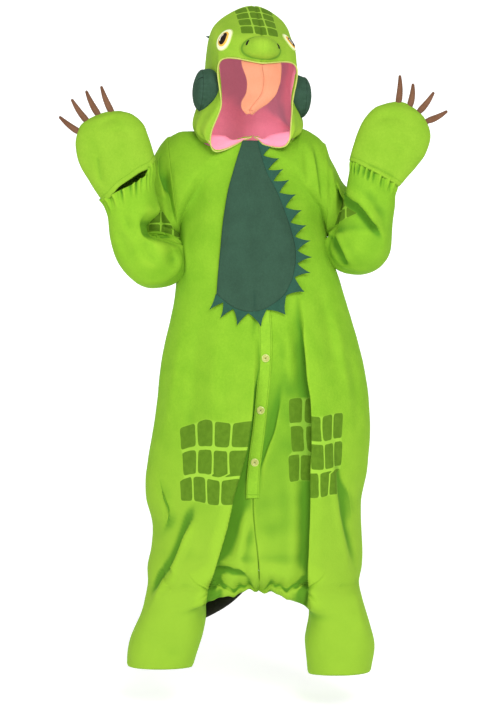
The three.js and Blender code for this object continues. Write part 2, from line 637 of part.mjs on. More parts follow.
// Front and back have different columns on the shoulder seam, so their normals run evenly
// from one end of it to the other.
for (const side of Object.keys(SIDES)) {
  for (const face of ["front", "back"]) {
    const { points, normals } = cloth[`${face}_${side}`];
    const [from, to] = [points[0][0], points[0].at(-1)];
    const [first, last] = [normals[0][0], normals[0].at(-1)];
    normals[0] = points[0].map((p) => first.clone().lerp(last, p.distanceTo(from) / to.distanceTo(from)));
  }
}

for (const [name, piece] of Object.entries(cloth)) {
  const first = name.startsWith("sleeve") ? 1.2 * SEAM : SEAM / 2;
  add(name, wall(piece, 0, -CLOTH, [first, SEAM / 2, SEAM / 2, SEAM / 2]), "green");
}

// The same panel with its edges past the seams, and one grown by the gap.
const LAPPED = [-1.5, -1.5, -1.5, -1.5];
const grown = (name) => wall(cloth[name], SEAM, -6, LAPPED);

// ------------------------------------------------------------- button band and buttons
// The band lies on both fronts along the centre line and is made from their points.
const bandRows = [];
const bandNormals = [];
for (let row = BAND.first_row; row <= BAND.last_row; row += 1) {
  const { front_right: right, front_left: left } = cloth;
  bandRows.push([right.points[row][1], right.points[row][0], left.points[row][1]]);
  bandNormals.push([right.normals[row][1], right.normals[row][0], left.normals[row][1]]);
}
const band = { points: bandRows, normals: bandNormals, closed: false };
add("button_band", wall(band, SEAM + BAND.thick, SEAM, [5, 0, 0, 0]), "green");
const bandTop = wall(band, 2 * SEAM + BAND.thick, SEAM, [5, 0, 0, 0]);

function buttonGeometry() {
  const { radius, thick } = BUTTON;
  const profile = [[0, 0], [radius - 0.7, 0], [radius, 0.9], [radius, thick - 0.8], [radius - 0.9, thick], [0, thick - 0.3]];
  const lathe = new THREE.LatheGeometry(profile.map(([x, y]) => new THREE.Vector2(x, y)), 12);
  lathe.deleteAttribute("normal");
  lathe.deleteAttribute("uv");
  return mergeVertices(lathe, 1e-4);
}

for (let k = 0; k < BUTTON.count; k += 1) {
  const z = BUTTON.first_z - BUTTON.pitch * k;
  const row = bandRows.findIndex((points) => points[1].z < z);
  const above = bandRows[row - 1][1];
  const below = bandRows[row][1];
  const seat = above.clone().lerp(below, (above.z - z) / (above.z - below.z));
  const down = below.clone().sub(above).normalize();
  const out = vec(1, 0, 0).cross(down).normalize();
  if (out.y > 0) out.negate();
  seat.addScaledVector(out, BAND.thick + 0.1);
  const geometry = buttonGeometry();
  geometry.applyQuaternion(new THREE.Quaternion().setFromUnitVectors(vec(0, 1, 0), out));
  geometry.translate(seat.x, seat.y, seat.z);
  add(`button_${k + 1}`, seated(geometry, bandTop), "button");
}

// --------------------------------------------------------------------------- hood lining
// One pink shell inside both halves of the hood, from ear to ear, ending above the neckline.
const liningPoints = [];
const liningNormals = [];
for (let row = 0; row < HOOD_ROWS; row += 1) {
  const { hood_right: right, hood_left: left } = cloth;
  const mirrored = left.points[row].slice(0, HOOD_COLUMNS).reverse();
  const mirroredNormals = left.normals[row].slice(0, HOOD_COLUMNS).reverse();
  liningPoints.push([...right.points[row], ...mirrored]);
  liningNormals.push([...right.normals[row], ...mirroredNormals]);
}
const lining = { points: liningPoints, normals: liningNormals, closed: false };
const liningWall = wall(lining, -CLOTH - SEAM, -CLOTH - SEAM - LINING, [0, 0, 4, 4]);
add("hood_lining", seated(liningWall, grown("back_right"), grown("back_left")), "pink");

// ------------------------------------------------- felt and padded pieces on the hood
const hoodMesh = new THREE.Group();
for (const side of Object.keys(SIDES)) {
  const material = new THREE.MeshBasicMaterial({ side: THREE.DoubleSide });
  hoodMesh.add(new THREE.Mesh(wall(cloth[`hood_${side}`], 0, -CLOTH, LAPPED), material));
}
hoodMesh.updateMatrixWorld(true);

function dropOnHood(from, way) {
  const ray = new THREE.Raycaster(from, way, 0, 190);
  const hits = ray.intersectObjects(hoodMesh.children);
  return hits.length > 0 ? hits[0].point : null;
}

// A patch on the hood: rings of places round a centre, looked at along `facing`.
// `reach(angle)` is the patch's edge, `rise(share)` its height from centre to edge.
function hoodPatch(centre, facing, up, reach, rise, sink = 1, rings = 3, around = 16) {
  const out = turned(facing).normalize();
  const upward = turned(up).addScaledVector(out, -turned(up).dot(out)).normalize();
  const across = upward.clone().cross(out);
  const middle = turned(centre);
  const base = [];
  const top = [];
  for (let i = rings; i >= 0; i -= 1) {
    const share = i / rings;
    const lower = [];
    const upper = [];
    for (let j = 0; j < around; j += 1) {
      const angle = (2 * Math.PI * j) / around;
      const r = reach(angle) * Math.max(share, 0.02);
      const way = across.clone().multiplyScalar(Math.cos(angle)).addScaledVector(upward, Math.sin(angle));
      const start = middle.clone().addScaledVector(out, 120).addScaledVector(way, r);
      let foot = dropOnHood(start, out.clone().negate());
      while (foot === null) {
        start.addScaledVector(way, -1);
        foot = dropOnHood(start, out.clone().negate());
      }
      lower.push(foot.clone().addScaledVector(out, -sink));
      upper.push(foot.clone().addScaledVector(out, rise(share)));
    }
    base.push(lower);
    top.push(upper);
  }
  return loft([...base.slice().reverse(), ...top]);
}

const onHood = [grown("hood_right"), grown("hood_left")];
const ellipse = (wide, tall) => (angle) => {
  const c = Math.cos(angle) / (wide / 2);
  const s = Math.sin(angle) / (tall / 2);
  return 1 / Math.hypot(c, s);
};

const SNOUT_CENTRE = vec(0, -150, 180);
const SNOUT_FACING = vec(0, -1, 0.12);
const snoutRise = (share) => SNOUT.swell * Math.sqrt(Math.max(1 - share ** 2.6, 0)) + 2;
function snoutShape(grow) {
  const reach = ellipse(SNOUT.wide + 2 * grow, SNOUT.tall + 2 * grow);
  return hoodPatch(SNOUT_CENTRE, SNOUT_FACING, vec(0, 0, 1), reach, (share) => snoutRise(share) + grow, 2, 5, 20);
}
const snout = seated(snoutShape(0), ...onHood);
add("snout", snout, "green");

for (const side of Object.keys(SIDES)) {
  const sign = SIDES[side];
  const centre = vec(sign * 66, -84, 210);
  const facing = vec(sign * 0.72, -0.62, 0.3);
  const up = vec(sign * -0.25, 0, 1);
  const layers = [
    ["white", EYE.wide, EYE.tall, 0, "eye_white"],
    ["yellow", EYE.wide * 0.62, EYE.tall * 0.66, 1, "eye_yellow"],
    ["pupil", EYE.wide * 0.44, EYE.tall * 0.5, 2, "black"],
  ];
  let carriers = onHood;
  for (const [part, wide, tall, layer, material] of layers) {
    const height = EYE.felt * (layer + 1) + SEAM * (layer + 1);
    const patch = hoodPatch(centre, facing, up, ellipse(wide, tall), () => height, 1, 2, 14);
    add(`eye_${part}_${side}`, seated(patch, ...carriers), material);
    const cover = hoodPatch(centre, facing, up, ellipse(EYE.wide + 4, EYE.tall + 4), () => height + SEAM, 1, 4, 14);
    carriers = [...onHood, cover];
  }
}

for (const side of Object.keys(SIDES)) {
  const sign = SIDES[side];
  const facing = vec(sign, 0, 0);
  const centre = vec(sign * 100, EAR.y, EAR.z);
  const profile = (share) => {
    const edge = Math.min(Math.max((share - (1 - EAR.bevel / EAR.radius)) / (EAR.bevel / EAR.radius), 0), 1);
    return EAR.bevel * (Math.sqrt(Math.max(1 - edge * edge, 0)) - 1);
  };
  const out = turned(facing).normalize();
  const upward = vec(0, 0, 1).addScaledVector(out, -out.z).normalize();
  const across = upward.clone().cross(out);
  const rings = [];
  const shares = [1, 0.93, 0.8, 0];
  const placeAt = (share, j) => {
    const angle = (2 * Math.PI * j) / 18;
    const r = EAR.radius * Math.max(share, 0.02);
    const p = turned(centre).addScaledVector(across, r * Math.cos(angle));
    return p.addScaledVector(upward, r * Math.sin(angle));
  };
  const atReach = (p, reach) => p.clone().addScaledVector(out, reach - p.dot(out));
  const foot = (share, j) => {
    const hit = dropOnHood(placeAt(share, j).addScaledVector(out, 150), out.clone().negate());
    return hit.addScaledVector(out, -2);
  };
  for (const share of [0, 0.5, 1]) {
    rings.push(Array.from({ length: 18 }, (_, j) => foot(share * 0.9, j)));
  }
  rings.push(Array.from({ length: 18 }, (_, j) => foot(1, j).addScaledVector(out, 9)));
  for (const share of shares) {
    const reach = EAR.reach + profile(share);
    rings.push(Array.from({ length: 18 }, (_, j) => atReach(placeAt(share, j), reach)));
  }
  add(`ear_pad_${side}`, seated(loft(rings), ...onHood), "dark_green");
}

// Nostrils: small black ovals on the snout's upper corners.
for (const side of Object.keys(SIDES)) {
  const sign = SIDES[side];
  const centre = vec(sign * 32, -158, 190);
  const out = turned(vec(sign * 0.45, -1, 0.35)).normalize();
  const up = turned(vec(sign * -0.5, 0, 1));
  const across = up.clone().cross(out).normalize();
  const upward = out.clone().cross(across).normalize();
  const ray = new THREE.Raycaster(turned(centre).addScaledVector(out, 60), out.clone().negate(), 0, 120);
  const snoutMesh = new THREE.Mesh(snout, new THREE.MeshBasicMaterial({ side: THREE.DoubleSide }));
  const seat = ray.intersectObject(snoutMesh)[0].point;
  const ring = (height) => Array.from({ length: 10 }, (_, j) => {
    const angle = (2 * Math.PI * j) / 10;
    const p = seat.clone().addScaledVector(out, height).addScaledVector(across, 2.4 * Math.cos(angle));
    return p.addScaledVector(upward, 5.4 * Math.sin(angle));
  });
  add(`nostril_${side}`, loft([ring(0.9), ring(2)]), "black");
}

// Crest: felt spikes down the back of the hood's centre seam, flopping to the right.
{
  const { points, normals } = cloth.hood_right;
  const places = [];
  const ways = [];
  for (let row = CREST.first_row; row < HOOD_ROWS; row += CREST.step) {
    const [from, to, share] = [Math.floor(row), Math.ceil(row), row % 1];
    places.push(points[from][HOOD_COLUMNS].clone().lerp(points[to][HOOD_COLUMNS], share));
    ways.push(normals[from][HOOD_COLUMNS].clone().lerp(normals[to][HOOD_COLUMNS], share).normalize());
  }
  const through = turned(vec(1, 0, 0));
  const lift = (distance) => places.map((p, k) => p.clone().addScaledVector(ways[k], distance));
  const edge = lift(SEAM + 0.4);
  const valleys = lift(9);
  const tips = [];
  for (let k = 0; k < places.length - 1; k += 1) {
    const way = ways[k].clone().add(ways[k + 1]).normalize();
    const tip = edge[k].clone().lerp(edge[k + 1], 0.6).addScaledVector(way, CREST.rise);
    tips.push(tip.addScaledVector(through, -CREST.flop * (1 - 0.08 * k)));
  }
  add("crest", toothedStrip(edge, valleys, tips, places.map(() => through), CREST.thick), "dark_green");
}

// Tongue: sewn in under the snout, where it hangs over the edge of the mouth.
{
  const columns = 4;
  const rows = TONGUE.map((row) => Array.from({ length: columns + 1 }, (_, j) => {
    const share = j / columns;
    const bow = 9 * (1 - (2 * share - 1) ** 2);
    return turned(vec(mix(row.left, row.right, share), row.y - bow, row.z));
  }));
  const points = [rows[0].map((p) => p.clone().setZ(p.z + 18)), ...rows];
  const normals = gridNormals(points, false, () => vec(0, -1, 0));
  const tongue = wall({ points, normals, closed: false }, 1.2, -1.2, [0, 0, 0, 0]);
  add("tongue", seated(tongue, ...onHood, snoutShape(SEAM)), "peach");
}

// ----------------------------------------------------------- throat flap and its spikes
const frontMesh = new THREE.Group();
for (const side of Object.keys(SIDES)) {
  const material = new THREE.MeshBasicMaterial({ side: THREE.DoubleSide });
  frontMesh.add(new THREE.Mesh(wall(cloth[`front_${side}`], 0, -CLOTH, LAPPED), material));
}
frontMesh.updateMatrixWorld(true);

function onFront(x, z, offset) {
  const ray = new THREE.Raycaster(vec(x, -400, z), vec(0, 1, 0), 0, 800);
  const hits = ray.intersectObjects(frontMesh.children);
  return vec(x, hits[0].point.y - offset, z);
}

{
  const place = (i, j) => {
    const s = dewlapAt(i);
    const share = j / DEWLAP.columns;
    const sag = 40 * (i / DEWLAP.rows) ** 3 * (1 - (2 * share - 1) ** 2);
    return [mix(s.right, s.left, share), s.z - sag];
  };
  const offset = (i) => (i === 0 ? 1.6 : 9.5);
  const points = pointGrid(DEWLAP.rows, DEWLAP.columns, (i, j) => onFront(...place(i, j), offset(i)));
  const normals = gridNormals(points, false, () => vec(0, -1, 0));
  const flap = { points, normals, closed: false };
  add("dewlap", seated(wall(flap, DEWLAP.thick, 0, [0, 0, 0, 0]), bandTop), "dark_green");

  const { rows, columns } = DEWLAP;
  const route = [];
  for (let i = 0; i <= rows; i += 1) route.push([i, columns, i - 1, columns, 0, 1]);
  for (let j = columns - 1; j >= 0; j -= 1) route.push([rows, j, rows, j + 1, -1, 0]);
  const edge = [];
  const valleys = [];
  const over = [];
  const outs = [];
  for (const [i, j] of route) {
    const here = points[i][j];
    const across = points[i][Math.max(j - 1, 0)];
    const above = points[Math.max(i - 1, 0)][j];
    const out = vec(0, 0, 0);
    if (j === columns) out.add(here.clone().sub(across).normalize());
    if (i === rows) out.add(here.clone().sub(above).normalize());
    out.normalize();
    outs.push(out);
    edge.push(here.clone().addScaledVector(out, SEAM + 0.1).addScaledVector(normals[i][j], 0.5));
    valleys.push(edge.at(-1).clone().addScaledVector(out, 4));
    over.push(normals[i][j]);
  }
  const tips = [];
  for (let k = 0; k < route.length - 1; k += 1) {
    const out = outs[k].clone().add(outs[k + 1]).normalize();
    tips.push(edge[k].clone().lerp(edge[k + 1], 0.5).addScaledVector(out, 36));
  }
  add("dewlap_spikes", toothedStrip(edge, valleys, tips, over, DEWLAP.spike_thick), "spike_green");
}

// -------------------------------------------------------------------------------- claws
for (const side of Object.keys(SIDES)) {
  CLAWS[side].forEach((claw, k) => {
    const way = vec(Math.sin(radians(claw.point)), 0, Math.cos(radians(claw.point)));
    const bendWay = vec(way.z, 0, -way.x);
    const rings = [];
    for (const share of [-0.1, 0.15, 0.45, 0.75, 0.94, 1]) {
      const taper = Math.sqrt(Math.max(1 - Math.max(share, 0) ** 2.2, 0));
      const radius = CLAW.tip_radius + (CLAW.base_radius - CLAW.tip_radius) * taper;
      const centre = vec(claw.out, PAW_Y, claw.z).addScaledVector(way, claw.length * share);
      centre.addScaledVector(bendWay, CLAW.curl * Math.max(share, 0) ** 2);
      rings.push(Array.from({ length: 8 }, (_, j) => {
        const angle = (2 * Math.PI * j) / 8;
        const p = centre.clone().addScaledVector(bendWay, radius * Math.cos(angle));
        p.y += 0.8 * radius * Math.sin(angle);
        p.x *= SIDES[side];
        return p;
      }));
    }
    const carriers = [grown(`paw_palm_${side}`), grown(`paw_back_${side}`)];
    add(`claw_${side}_${k + 1}`, seated(loft(rings), ...carriers), "brown");
  });
}

// --------------------------------------------------------------------------------- tail
{
  const line = new THREE.CatmullRomCurve3(TAIL.map((s) => vec(s.x, s.y, s.z)));
  const rings = TAIL.map((s, i) => {
    const ahead = line.getTangent(i / (TAIL.length - 1));
    const across = vec(1, 0, 0).addScaledVector(ahead, -ahead.x);
    if (across.length() < 0.3) across.set(0, 1, 0).addScaledVector(ahead, -ahead.y);
    across.normalize();
    const other = ahead.clone().cross(across).normalize();
    return Array.from({ length: 12 }, (_, j) => {
      const angle = (2 * Math.PI * j) / 12;
      const p = vec(s.x, s.y, s.z).addScaledVector(across, s.radius * Math.cos(angle));
      return p.addScaledVector(other, s.radius * Math.sin(angle));
    });
  });
  add("tail", seated(loft(rings), grown("back_right"), grown("back_left")), "black");
}

export default group;
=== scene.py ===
from functools import lru_cache
from math import cos, exp, hypot, pi, radians, sin, sqrt, tanh
from types import SimpleNamespace as Sizes

import bmesh
import bpy
from mathutils import Matrix, Vector, noise
from mathutils.bvhtree import BVHTree


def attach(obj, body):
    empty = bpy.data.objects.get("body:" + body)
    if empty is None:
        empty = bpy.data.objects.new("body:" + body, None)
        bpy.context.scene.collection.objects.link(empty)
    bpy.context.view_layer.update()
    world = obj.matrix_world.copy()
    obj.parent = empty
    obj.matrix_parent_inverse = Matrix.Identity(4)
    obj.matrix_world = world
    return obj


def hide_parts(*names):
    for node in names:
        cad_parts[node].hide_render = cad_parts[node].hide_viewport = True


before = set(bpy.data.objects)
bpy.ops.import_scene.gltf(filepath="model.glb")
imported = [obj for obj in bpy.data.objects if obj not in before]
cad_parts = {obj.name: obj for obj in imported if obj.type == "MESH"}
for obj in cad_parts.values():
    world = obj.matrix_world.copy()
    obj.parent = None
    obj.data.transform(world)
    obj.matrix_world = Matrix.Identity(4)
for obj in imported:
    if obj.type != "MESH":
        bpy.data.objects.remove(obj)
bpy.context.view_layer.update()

# ---------------------------------------------------------------------------------- studio
# A plain white studio. The onesie is looked at straight on from four metres, at hip height,
# with a wide soft light high on the wearer's left, a weaker one low on the right, and white
# all round.
scene = bpy.context.scene
CAMERA_PLACE = (0.00675, -4.0, -0.48825)
CAMERA_LENS = 89.64
FLOOR_HEIGHT = -1.275
FLOOR_REACH = 12.0
WALL_PLACE = 7.0
WALL_TOP = 6.0
WORLD_LIGHT = 0.48
AIM = Vector((0, 0, -0.45))

camera = bpy.data.objects.new("camera", bpy.data.cameras.new("camera"))
scene.collection.objects.link(camera)
camera.location = CAMERA_PLACE
camera.rotation_euler = (radians(90), 0, 0)
camera.data.lens = CAMERA_LENS
camera.data.clip_end = 100
scene.camera = camera

scene.view_settings.view_transform = "Standard"

world = bpy.data.worlds.new("studio")
world.use_nodes = True
world.node_tree.nodes["Background"].inputs["Color"].default_value = (1, 1, 1, 1)
world.node_tree.nodes["Background"].inputs["Strength"].default_value = WORLD_LIGHT
scene.world = world

for lamp_name, place, size, power in [
    ("key_light", (1.0, -4.3, 1.6), 1.8, 150),
    ("fill_light", (-2.3, -4.2, 0.2), 2.4, 56),
]:
    lamp = bpy.data.objects.new(lamp_name, bpy.data.lights.new(lamp_name, "AREA"))
    scene.collection.objects.link(lamp)
    lamp.location = place
    lamp.data.size = size
    lamp.data.energy = power
    lamp.rotation_euler = (AIM - Vector(place)).to_track_quat("-Z", "Y").to_euler()


class Wire:
    """What one socket gives, so that sums on it read as sums."""

    def __init__(self, finish, socket):
        self.finish, self.socket = finish, socket

    def math(self, operation, first, second=0.0):
        return self.finish.node("ShaderNodeMath", {"operation": operation}, {0: first, 1: second})

    def __add__(self, other):
        return self.math("ADD", self, other)

    def __sub__(self, other):
        return self.math("SUBTRACT", self, other)

    def __rsub__(self, other):
        return self.math("SUBTRACT", other, self)

    def __mul__(self, other):
        return self.math("MULTIPLY", self, other)

    def __pow__(self, other):
        return self.math("POWER", self, other)

    __radd__ = __add__
    __rmul__ = __mul__

    def whole(self):
        return self.math("FLOOR", self)

    def part(self):
        return self.math("FRACT", self)

    def size(self):
        return self.math("ABSOLUTE", self)

    def wave(self):
        return self.math("SINE", self)

    def at_least(self, other):
        return self.math("MAXIMUM", self, other)

    def over(self, other):
        return self.math("GREATER_THAN", self, other)

    def rise(self, low, high):
        """0 below low and 1 above high, smoothly; low over high turns it round."""
        return self.finish.node(
            "ShaderNodeMapRange", {"interpolation_type": "SMOOTHSTEP"},
            {"Value": self, "From Min": low, "From Max": high})


class Finish:
    """A material being made: its shader, and one way to add any node."""

    def __init__(self, name, **constants):
        self.material = bpy.data.materials.new(name)
        self.material.use_nodes = True
        self.tree = self.material.node_tree
        self.shader = self.tree.nodes["Principled BSDF"]
        self.colour = self.height = None
        for socket, value in constants.items():
            self.shader.inputs[socket.replace("_", " ")].default_value = value

    def node(self, kind, settings=None, sockets=None, out=0):
        made = self.tree.nodes.new(kind)
        for key, value in (settings or {}).items():
            setattr(made, key, value)
        for key, value in (sockets or {}).items():
            if isinstance(value, Wire):
                self.tree.links.new(value.socket, made.inputs[key])
            else:
                made.inputs[key].default_value = value
        return Wire(self, made.outputs[out])

    def blend(self, first, second, share):
        """A colour between two colours."""
        return self.node(
            "ShaderNodeMix", {"data_type": "RGBA"}, {"Factor": share, 6: first, 7: second}, out=2)

    def object_place(self):
        return self.node("ShaderNodeTexCoord", out="Object")

    def grain(self, place, scale, detail=2.0, roughness=0.5):
        return self.node(
            "ShaderNodeTexNoise", {},
            {"Vector": place, "Scale": scale, "Detail": detail, "Roughness": roughness})

    def uv(self, name):
        """The two directions of a piece's own map, as two numbers."""
        place = self.node("ShaderNodeUVMap", {"uv_map": name})
        return [self.node("ShaderNodeSeparateXYZ", {}, {0: place}, out=way) for way in (0, 1)]

    def close(self, colour=None, height=None, depth=0.0012, strength=0.6):
        """Joins the colour and the bump, in metres, to the shader."""
        colour, height = colour or self.colour, height or self.height
        self.tree.links.new(colour.socket, self.shader.inputs["Base Color"])
        if height:
            bump = self.node(
                "ShaderNodeBump", {}, {"Height": height, "Distance": depth, "Strength": strength})
            self.tree.links.new(bump.socket, self.shader.inputs["Normal"])
        return self.material


def rgb(red, green, blue):
    """A colour as it looks on a screen, made linear."""
    def linear(value):
        share = value / 255
        return share / 12.92 if share <= 0.04045 else ((share + 0.055) / 1.055) ** 2.4
    return (linear(red), linear(green), linear(blue), 1.0)


floor = bmesh.new()
bmesh.ops.create_grid(floor, x_segments=2, y_segments=60, size=0.5)
for corner in floor.verts:
    run = (corner.co.y + 0.5) * (WALL_PLACE + FLOOR_REACH + WALL_TOP) - FLOOR_REACH
    bend = min(max((run - WALL_PLACE + 2) / 4, 0), 1)
    rise = 4 * bend * bend / 2 + max(run - WALL_PLACE - 2, 0)
    away = min(run, WALL_PLACE + 1) - bend * bend
    corner.co = (corner.co.x * 2 * FLOOR_REACH, away, FLOOR_HEIGHT + rise)
floor_mesh = bpy.data.meshes.new("floor")
floor.to_mesh(floor_mesh)
floor.free()
floor_mesh.shade_smooth()
floor_object = bpy.data.objects.new("floor", floor_mesh)
scene.collection.objects.link(floor_object)
pale = Finish("pale_floor", Roughness=0.9, Emission_Color=(1, 1, 1, 1), Emission_Strength=0.42)
speckle = pale.grain(pale.object_place(), 3.0)
floor_mesh.materials.append(pale.close(pale.blend(rgb(248, 248, 247), rgb(252, 252, 251), speckle)))

# ------------------------------------------------------------------------- body: four panels
# Two fronts and two backs of short-pile fleece, cut very wide and sewn at the centre, sides,
# shoulders and inseams, with a low crotch and turned ankle hems. Big folds hang from the arms
# and bunch where the wide seat meets the legs.
MM = 0.001
CLOTH = 0.002
SIDES = {"right": -1, "left": 1}
GREEN = rgb(130, 177, 40)
GREEN_SHADE = rgb(112, 162, 31)
# The paler green painted lower down, as if more light falls there.
LIT_LOW_GREEN = rgb(141, 178, 49)
PRINT_GREEN = rgb(79, 115, 19)
PRINT_LINE = rgb(156, 200, 66)
NECK = Sizes(half_width=112, front=97, back=73)
# Where the cloth's middle lies across the body and, from leg_top down, across a leg.
MIDDLE = Sizes(body=20, leg=190, leg_top=-1010)
PANEL_SIZE = (0.46, 1.27)
YOKE_ROWS = 8
CROTCH_ROW = 23
LAST_ROW = 29
YOKE_EASE = (5.8, 10)
CROTCH_EASE = (21.8, 24.6)
CROTCH_ACROSS = (0.46, 0.68)
ARMHOLE_STEP = 22.5
SEAM_DIP = 1.6


def mix(first, second, share):
    return first + (second - first) * share


def clamped(value):
    return min(max(value, 0), 1)


def smooth(share):
    return share * share * (3 - 2 * share)


def hump(value, middle, width):
    """1 at the middle, and falling off smoothly to both sides."""
    return exp(-(((value - middle) / width) ** 2))


def about(u, first, other, wide=1.0, tall=None):
    """A step out from a middle that goes once round it as u goes from 0 to 1."""
    a = 2 * pi * u
    return first * (wide * cos(a)) + other * ((wide if tall is None else tall) * sin(a))


def smooth_table(names, *rows):
    """Smooth values between the rows of a table, keyed by its first column."""
    names = names.split()
    last = len(rows) - 1

    def slope(column, i):
        before, after = rows[max(i - 1, 0)], rows[min(i + 1, last)]
        return (after[column] - before[column]) / (after[0] - before[0])

    @lru_cache(maxsize=None)
    def at(value):
        i = 0
        while i < last - 1 and value > rows[i + 1][0]:
            i += 1
        step = rows[i + 1][0] - rows[i][0]
        t = clamped((value - rows[i][0]) / step)
        found = {}
        for column, name in enumerate(names):
            leave = slope(column, i) * step * t * (1 - t) ** 2
            arrive = slope(column, i + 1) * step * t * t * (1 - t)
            found[name] = mix(rows[i][column], rows[i + 1][column], smooth(t)) + leave - arrive
        return Sizes(**found)
    return at


# The trunk's rows are alike on both sides, but for the outer edge. Each leg has its own.
TRUNK_NAMES = "row inner front front_z back back_z start fore aft"
TRUNK = [
    (8, 0, -97, -14, 73, 26, 90, 97, 73), (10, 14, -114, -165, 100, -150, 90, 114, 100),
    (12, 31, -126, -325, 120, -325, 90, 126, 120), (14, 41, -131, -480, 130, -480, 90, 131, 130),
    (16, 29, -134, -615, 136, -615, 90, 134, 136), (18, 15, -136, -740, 142, -740, 90, 136, 142),
    (19, 13, -135, -798, 142, -800, 90, 135, 142), (20, 17, -132, -862, 138, -862, 90, 132, 138),
    (21, 24, -124, -924, 128, -926, 82, 124, 128), (22, 27, -98, -972, 100, -980, 55, 116, 118),
    (23, 26, 0, -1008, 0, -1008, 0, 116, 112)]
LEG_DEPTHS = [(24, 116, 102), (25, 113, 92), (27, 101, 82), (29, 88, 74)]
LEG_INNER = {
    "right": [(-30, -1003), (-86, -987), (-95, -1088), (-121, -1183)],
    "left": [(80, -1018), (136, -1046), (130, -1126), (136, -1198)],
}
OUTER_EDGE = {
    "right": [
        (150, -215), (158, -275), (166, -375), (192, -490), (206, -620), (227, -745), (227, -805),
        (212, -860), (215, -912), (224, -955), (222, -992), (227, -1026), (236, -1057),
        (263, -1122), (270, -1177)],
    "left": [
        (178, -218), (193, -275), (226, -375), (259, -490), (277, -620), (270, -745), (258, -805),
        (257, -860), (260, -912), (259, -955), (251, -992), (257, -1026), (266, -1060),
        (284, -1128), (278, -1190)],
}


def body_table(side):
    legs = [
        (row, inner, 0, z, 0, z, 0, fore, aft)
        for (row, fore, aft), (inner, z) in zip(LEG_DEPTHS, LEG_INNER[side])]
    return smooth_table(
        TRUNK_NAMES + " outer outer_z",
        *[(*row, *edge) for row, edge in zip(TRUNK + legs, OUTER_EDGE[side])])


body_at = {side: body_table(side) for side in SIDES}

SLEEVE_NAMES = "ring out y z turn bend wide deep"
sleeve_at = {
    "right": smooth_table(
        SLEEVE_NAMES,
        (0, 163.5, 0, -105, 7, 0, 110.8, 76),
        (1, 178, 1, -122, 15.5, 0, 95.5, 75),
        (2, 192, 3, -148, 30, 0, 76, 72),
        (3, 201.5, 5, -176, 51, 0, 59.5, 67),
        (4, 205, 6, -205, 80, 8, 54.5, 62),
        (5, 205.5, -6, -251, 89, 40, 57.5, 60),
        (6, 208.5, -35, -272, 90, 75, 59.5, 60),
        (7, 214, -66, -273, 92, 105, 62, 60),
        (8, 226, -90, -257, 98, 132, 64, 58),
        (9, 242, -116, -206, 110, 150, 62, 51),
        (10, 251, -136, -155, 122, 167, 61, 42),
        (11, 253.5, -147, -121, 128, 177, 66, 36),
        (12, 256.5, -150, -109.5, 130.5, 180, 69, 33)),
    "left": smooth_table(
        SLEEVE_NAMES,
        (0, 177.5, 0, -108, 0, 0, 110, 76),
        (1, 188.5, 1, -133, 3, 0, 85.4, 75),
        (2, 201.5, 3, -158, 13.6, 0, 61.7, 71),
        (3, 223.5, 5, -176, 39, 0, 53.1, 66),
        (4, 239, 6, -197, 69, 8, 52, 61),
        (5, 246, -6, -227, 90, 40, 59, 57),
        (6, 249, -35, -245, 94, 75, 61, 57),
        (7, 254, -65, -245, 98, 105, 62, 57),
        (8, 258, -88, -231, 102, 132, 61, 55),
        (9, 262, -114, -190, 107, 150, 58, 50),
        (10, 268, -136, -142, 112, 167, 57, 40),
        (11, 272.4, -149.6, -97, 118, 180, 55, 27),
        (12, 279, -149.6, -84.7, 118, 180, 53, 25.5)),
}


def neckline(side, angle):
    """A place on the neckline: 0 is the front, 90 the side, 180 the back."""
    a = radians(angle)
    middle, reach = (NECK.back - NECK.front) / 2, (NECK.back + NECK.front) / 2
    dip = 18 * sin(2 * a) ** 2 if angle < 90 else 0
    return Vector((
        SIDES[side] * NECK.half_width * sin(a),
        middle - reach * cos(a),
        6 - 20 * cos(a) + 7 * sin(a) - dip))


def sleeve_point(side, ring, angle):
    """A place on a sleeve: angle 0 is its outer or top edge, 180 the armpit edge, 90 the back."""
    s = sleeve_at[side](ring)
    turn, bend, a = radians(s.turn), radians(s.bend), radians(angle)
    across = Vector((sin(turn), 0, cos(turn)))
    dropped = Vector((cos(turn), 0, -sin(turn)))
    through = Vector((0, cos(bend), 0)) + dropped * sin(bend)
    centre = Vector((s.out, s.y, s.z))
    p = centre + across * (s.wide * cos(a)) + through * (s.deep * sin(a))
    p.x *= SIDES[side]
    centre.x *= SIDES[side]
    return p, centre


# How much shade is painted into an open trough beside a lap's closed edge, and highlight onto a ridge, and
# the depth that makes a lap big enough to paint its shade far over the cloth beneath.
OPEN_SHADE = 0.14
BIG_LAP = 40


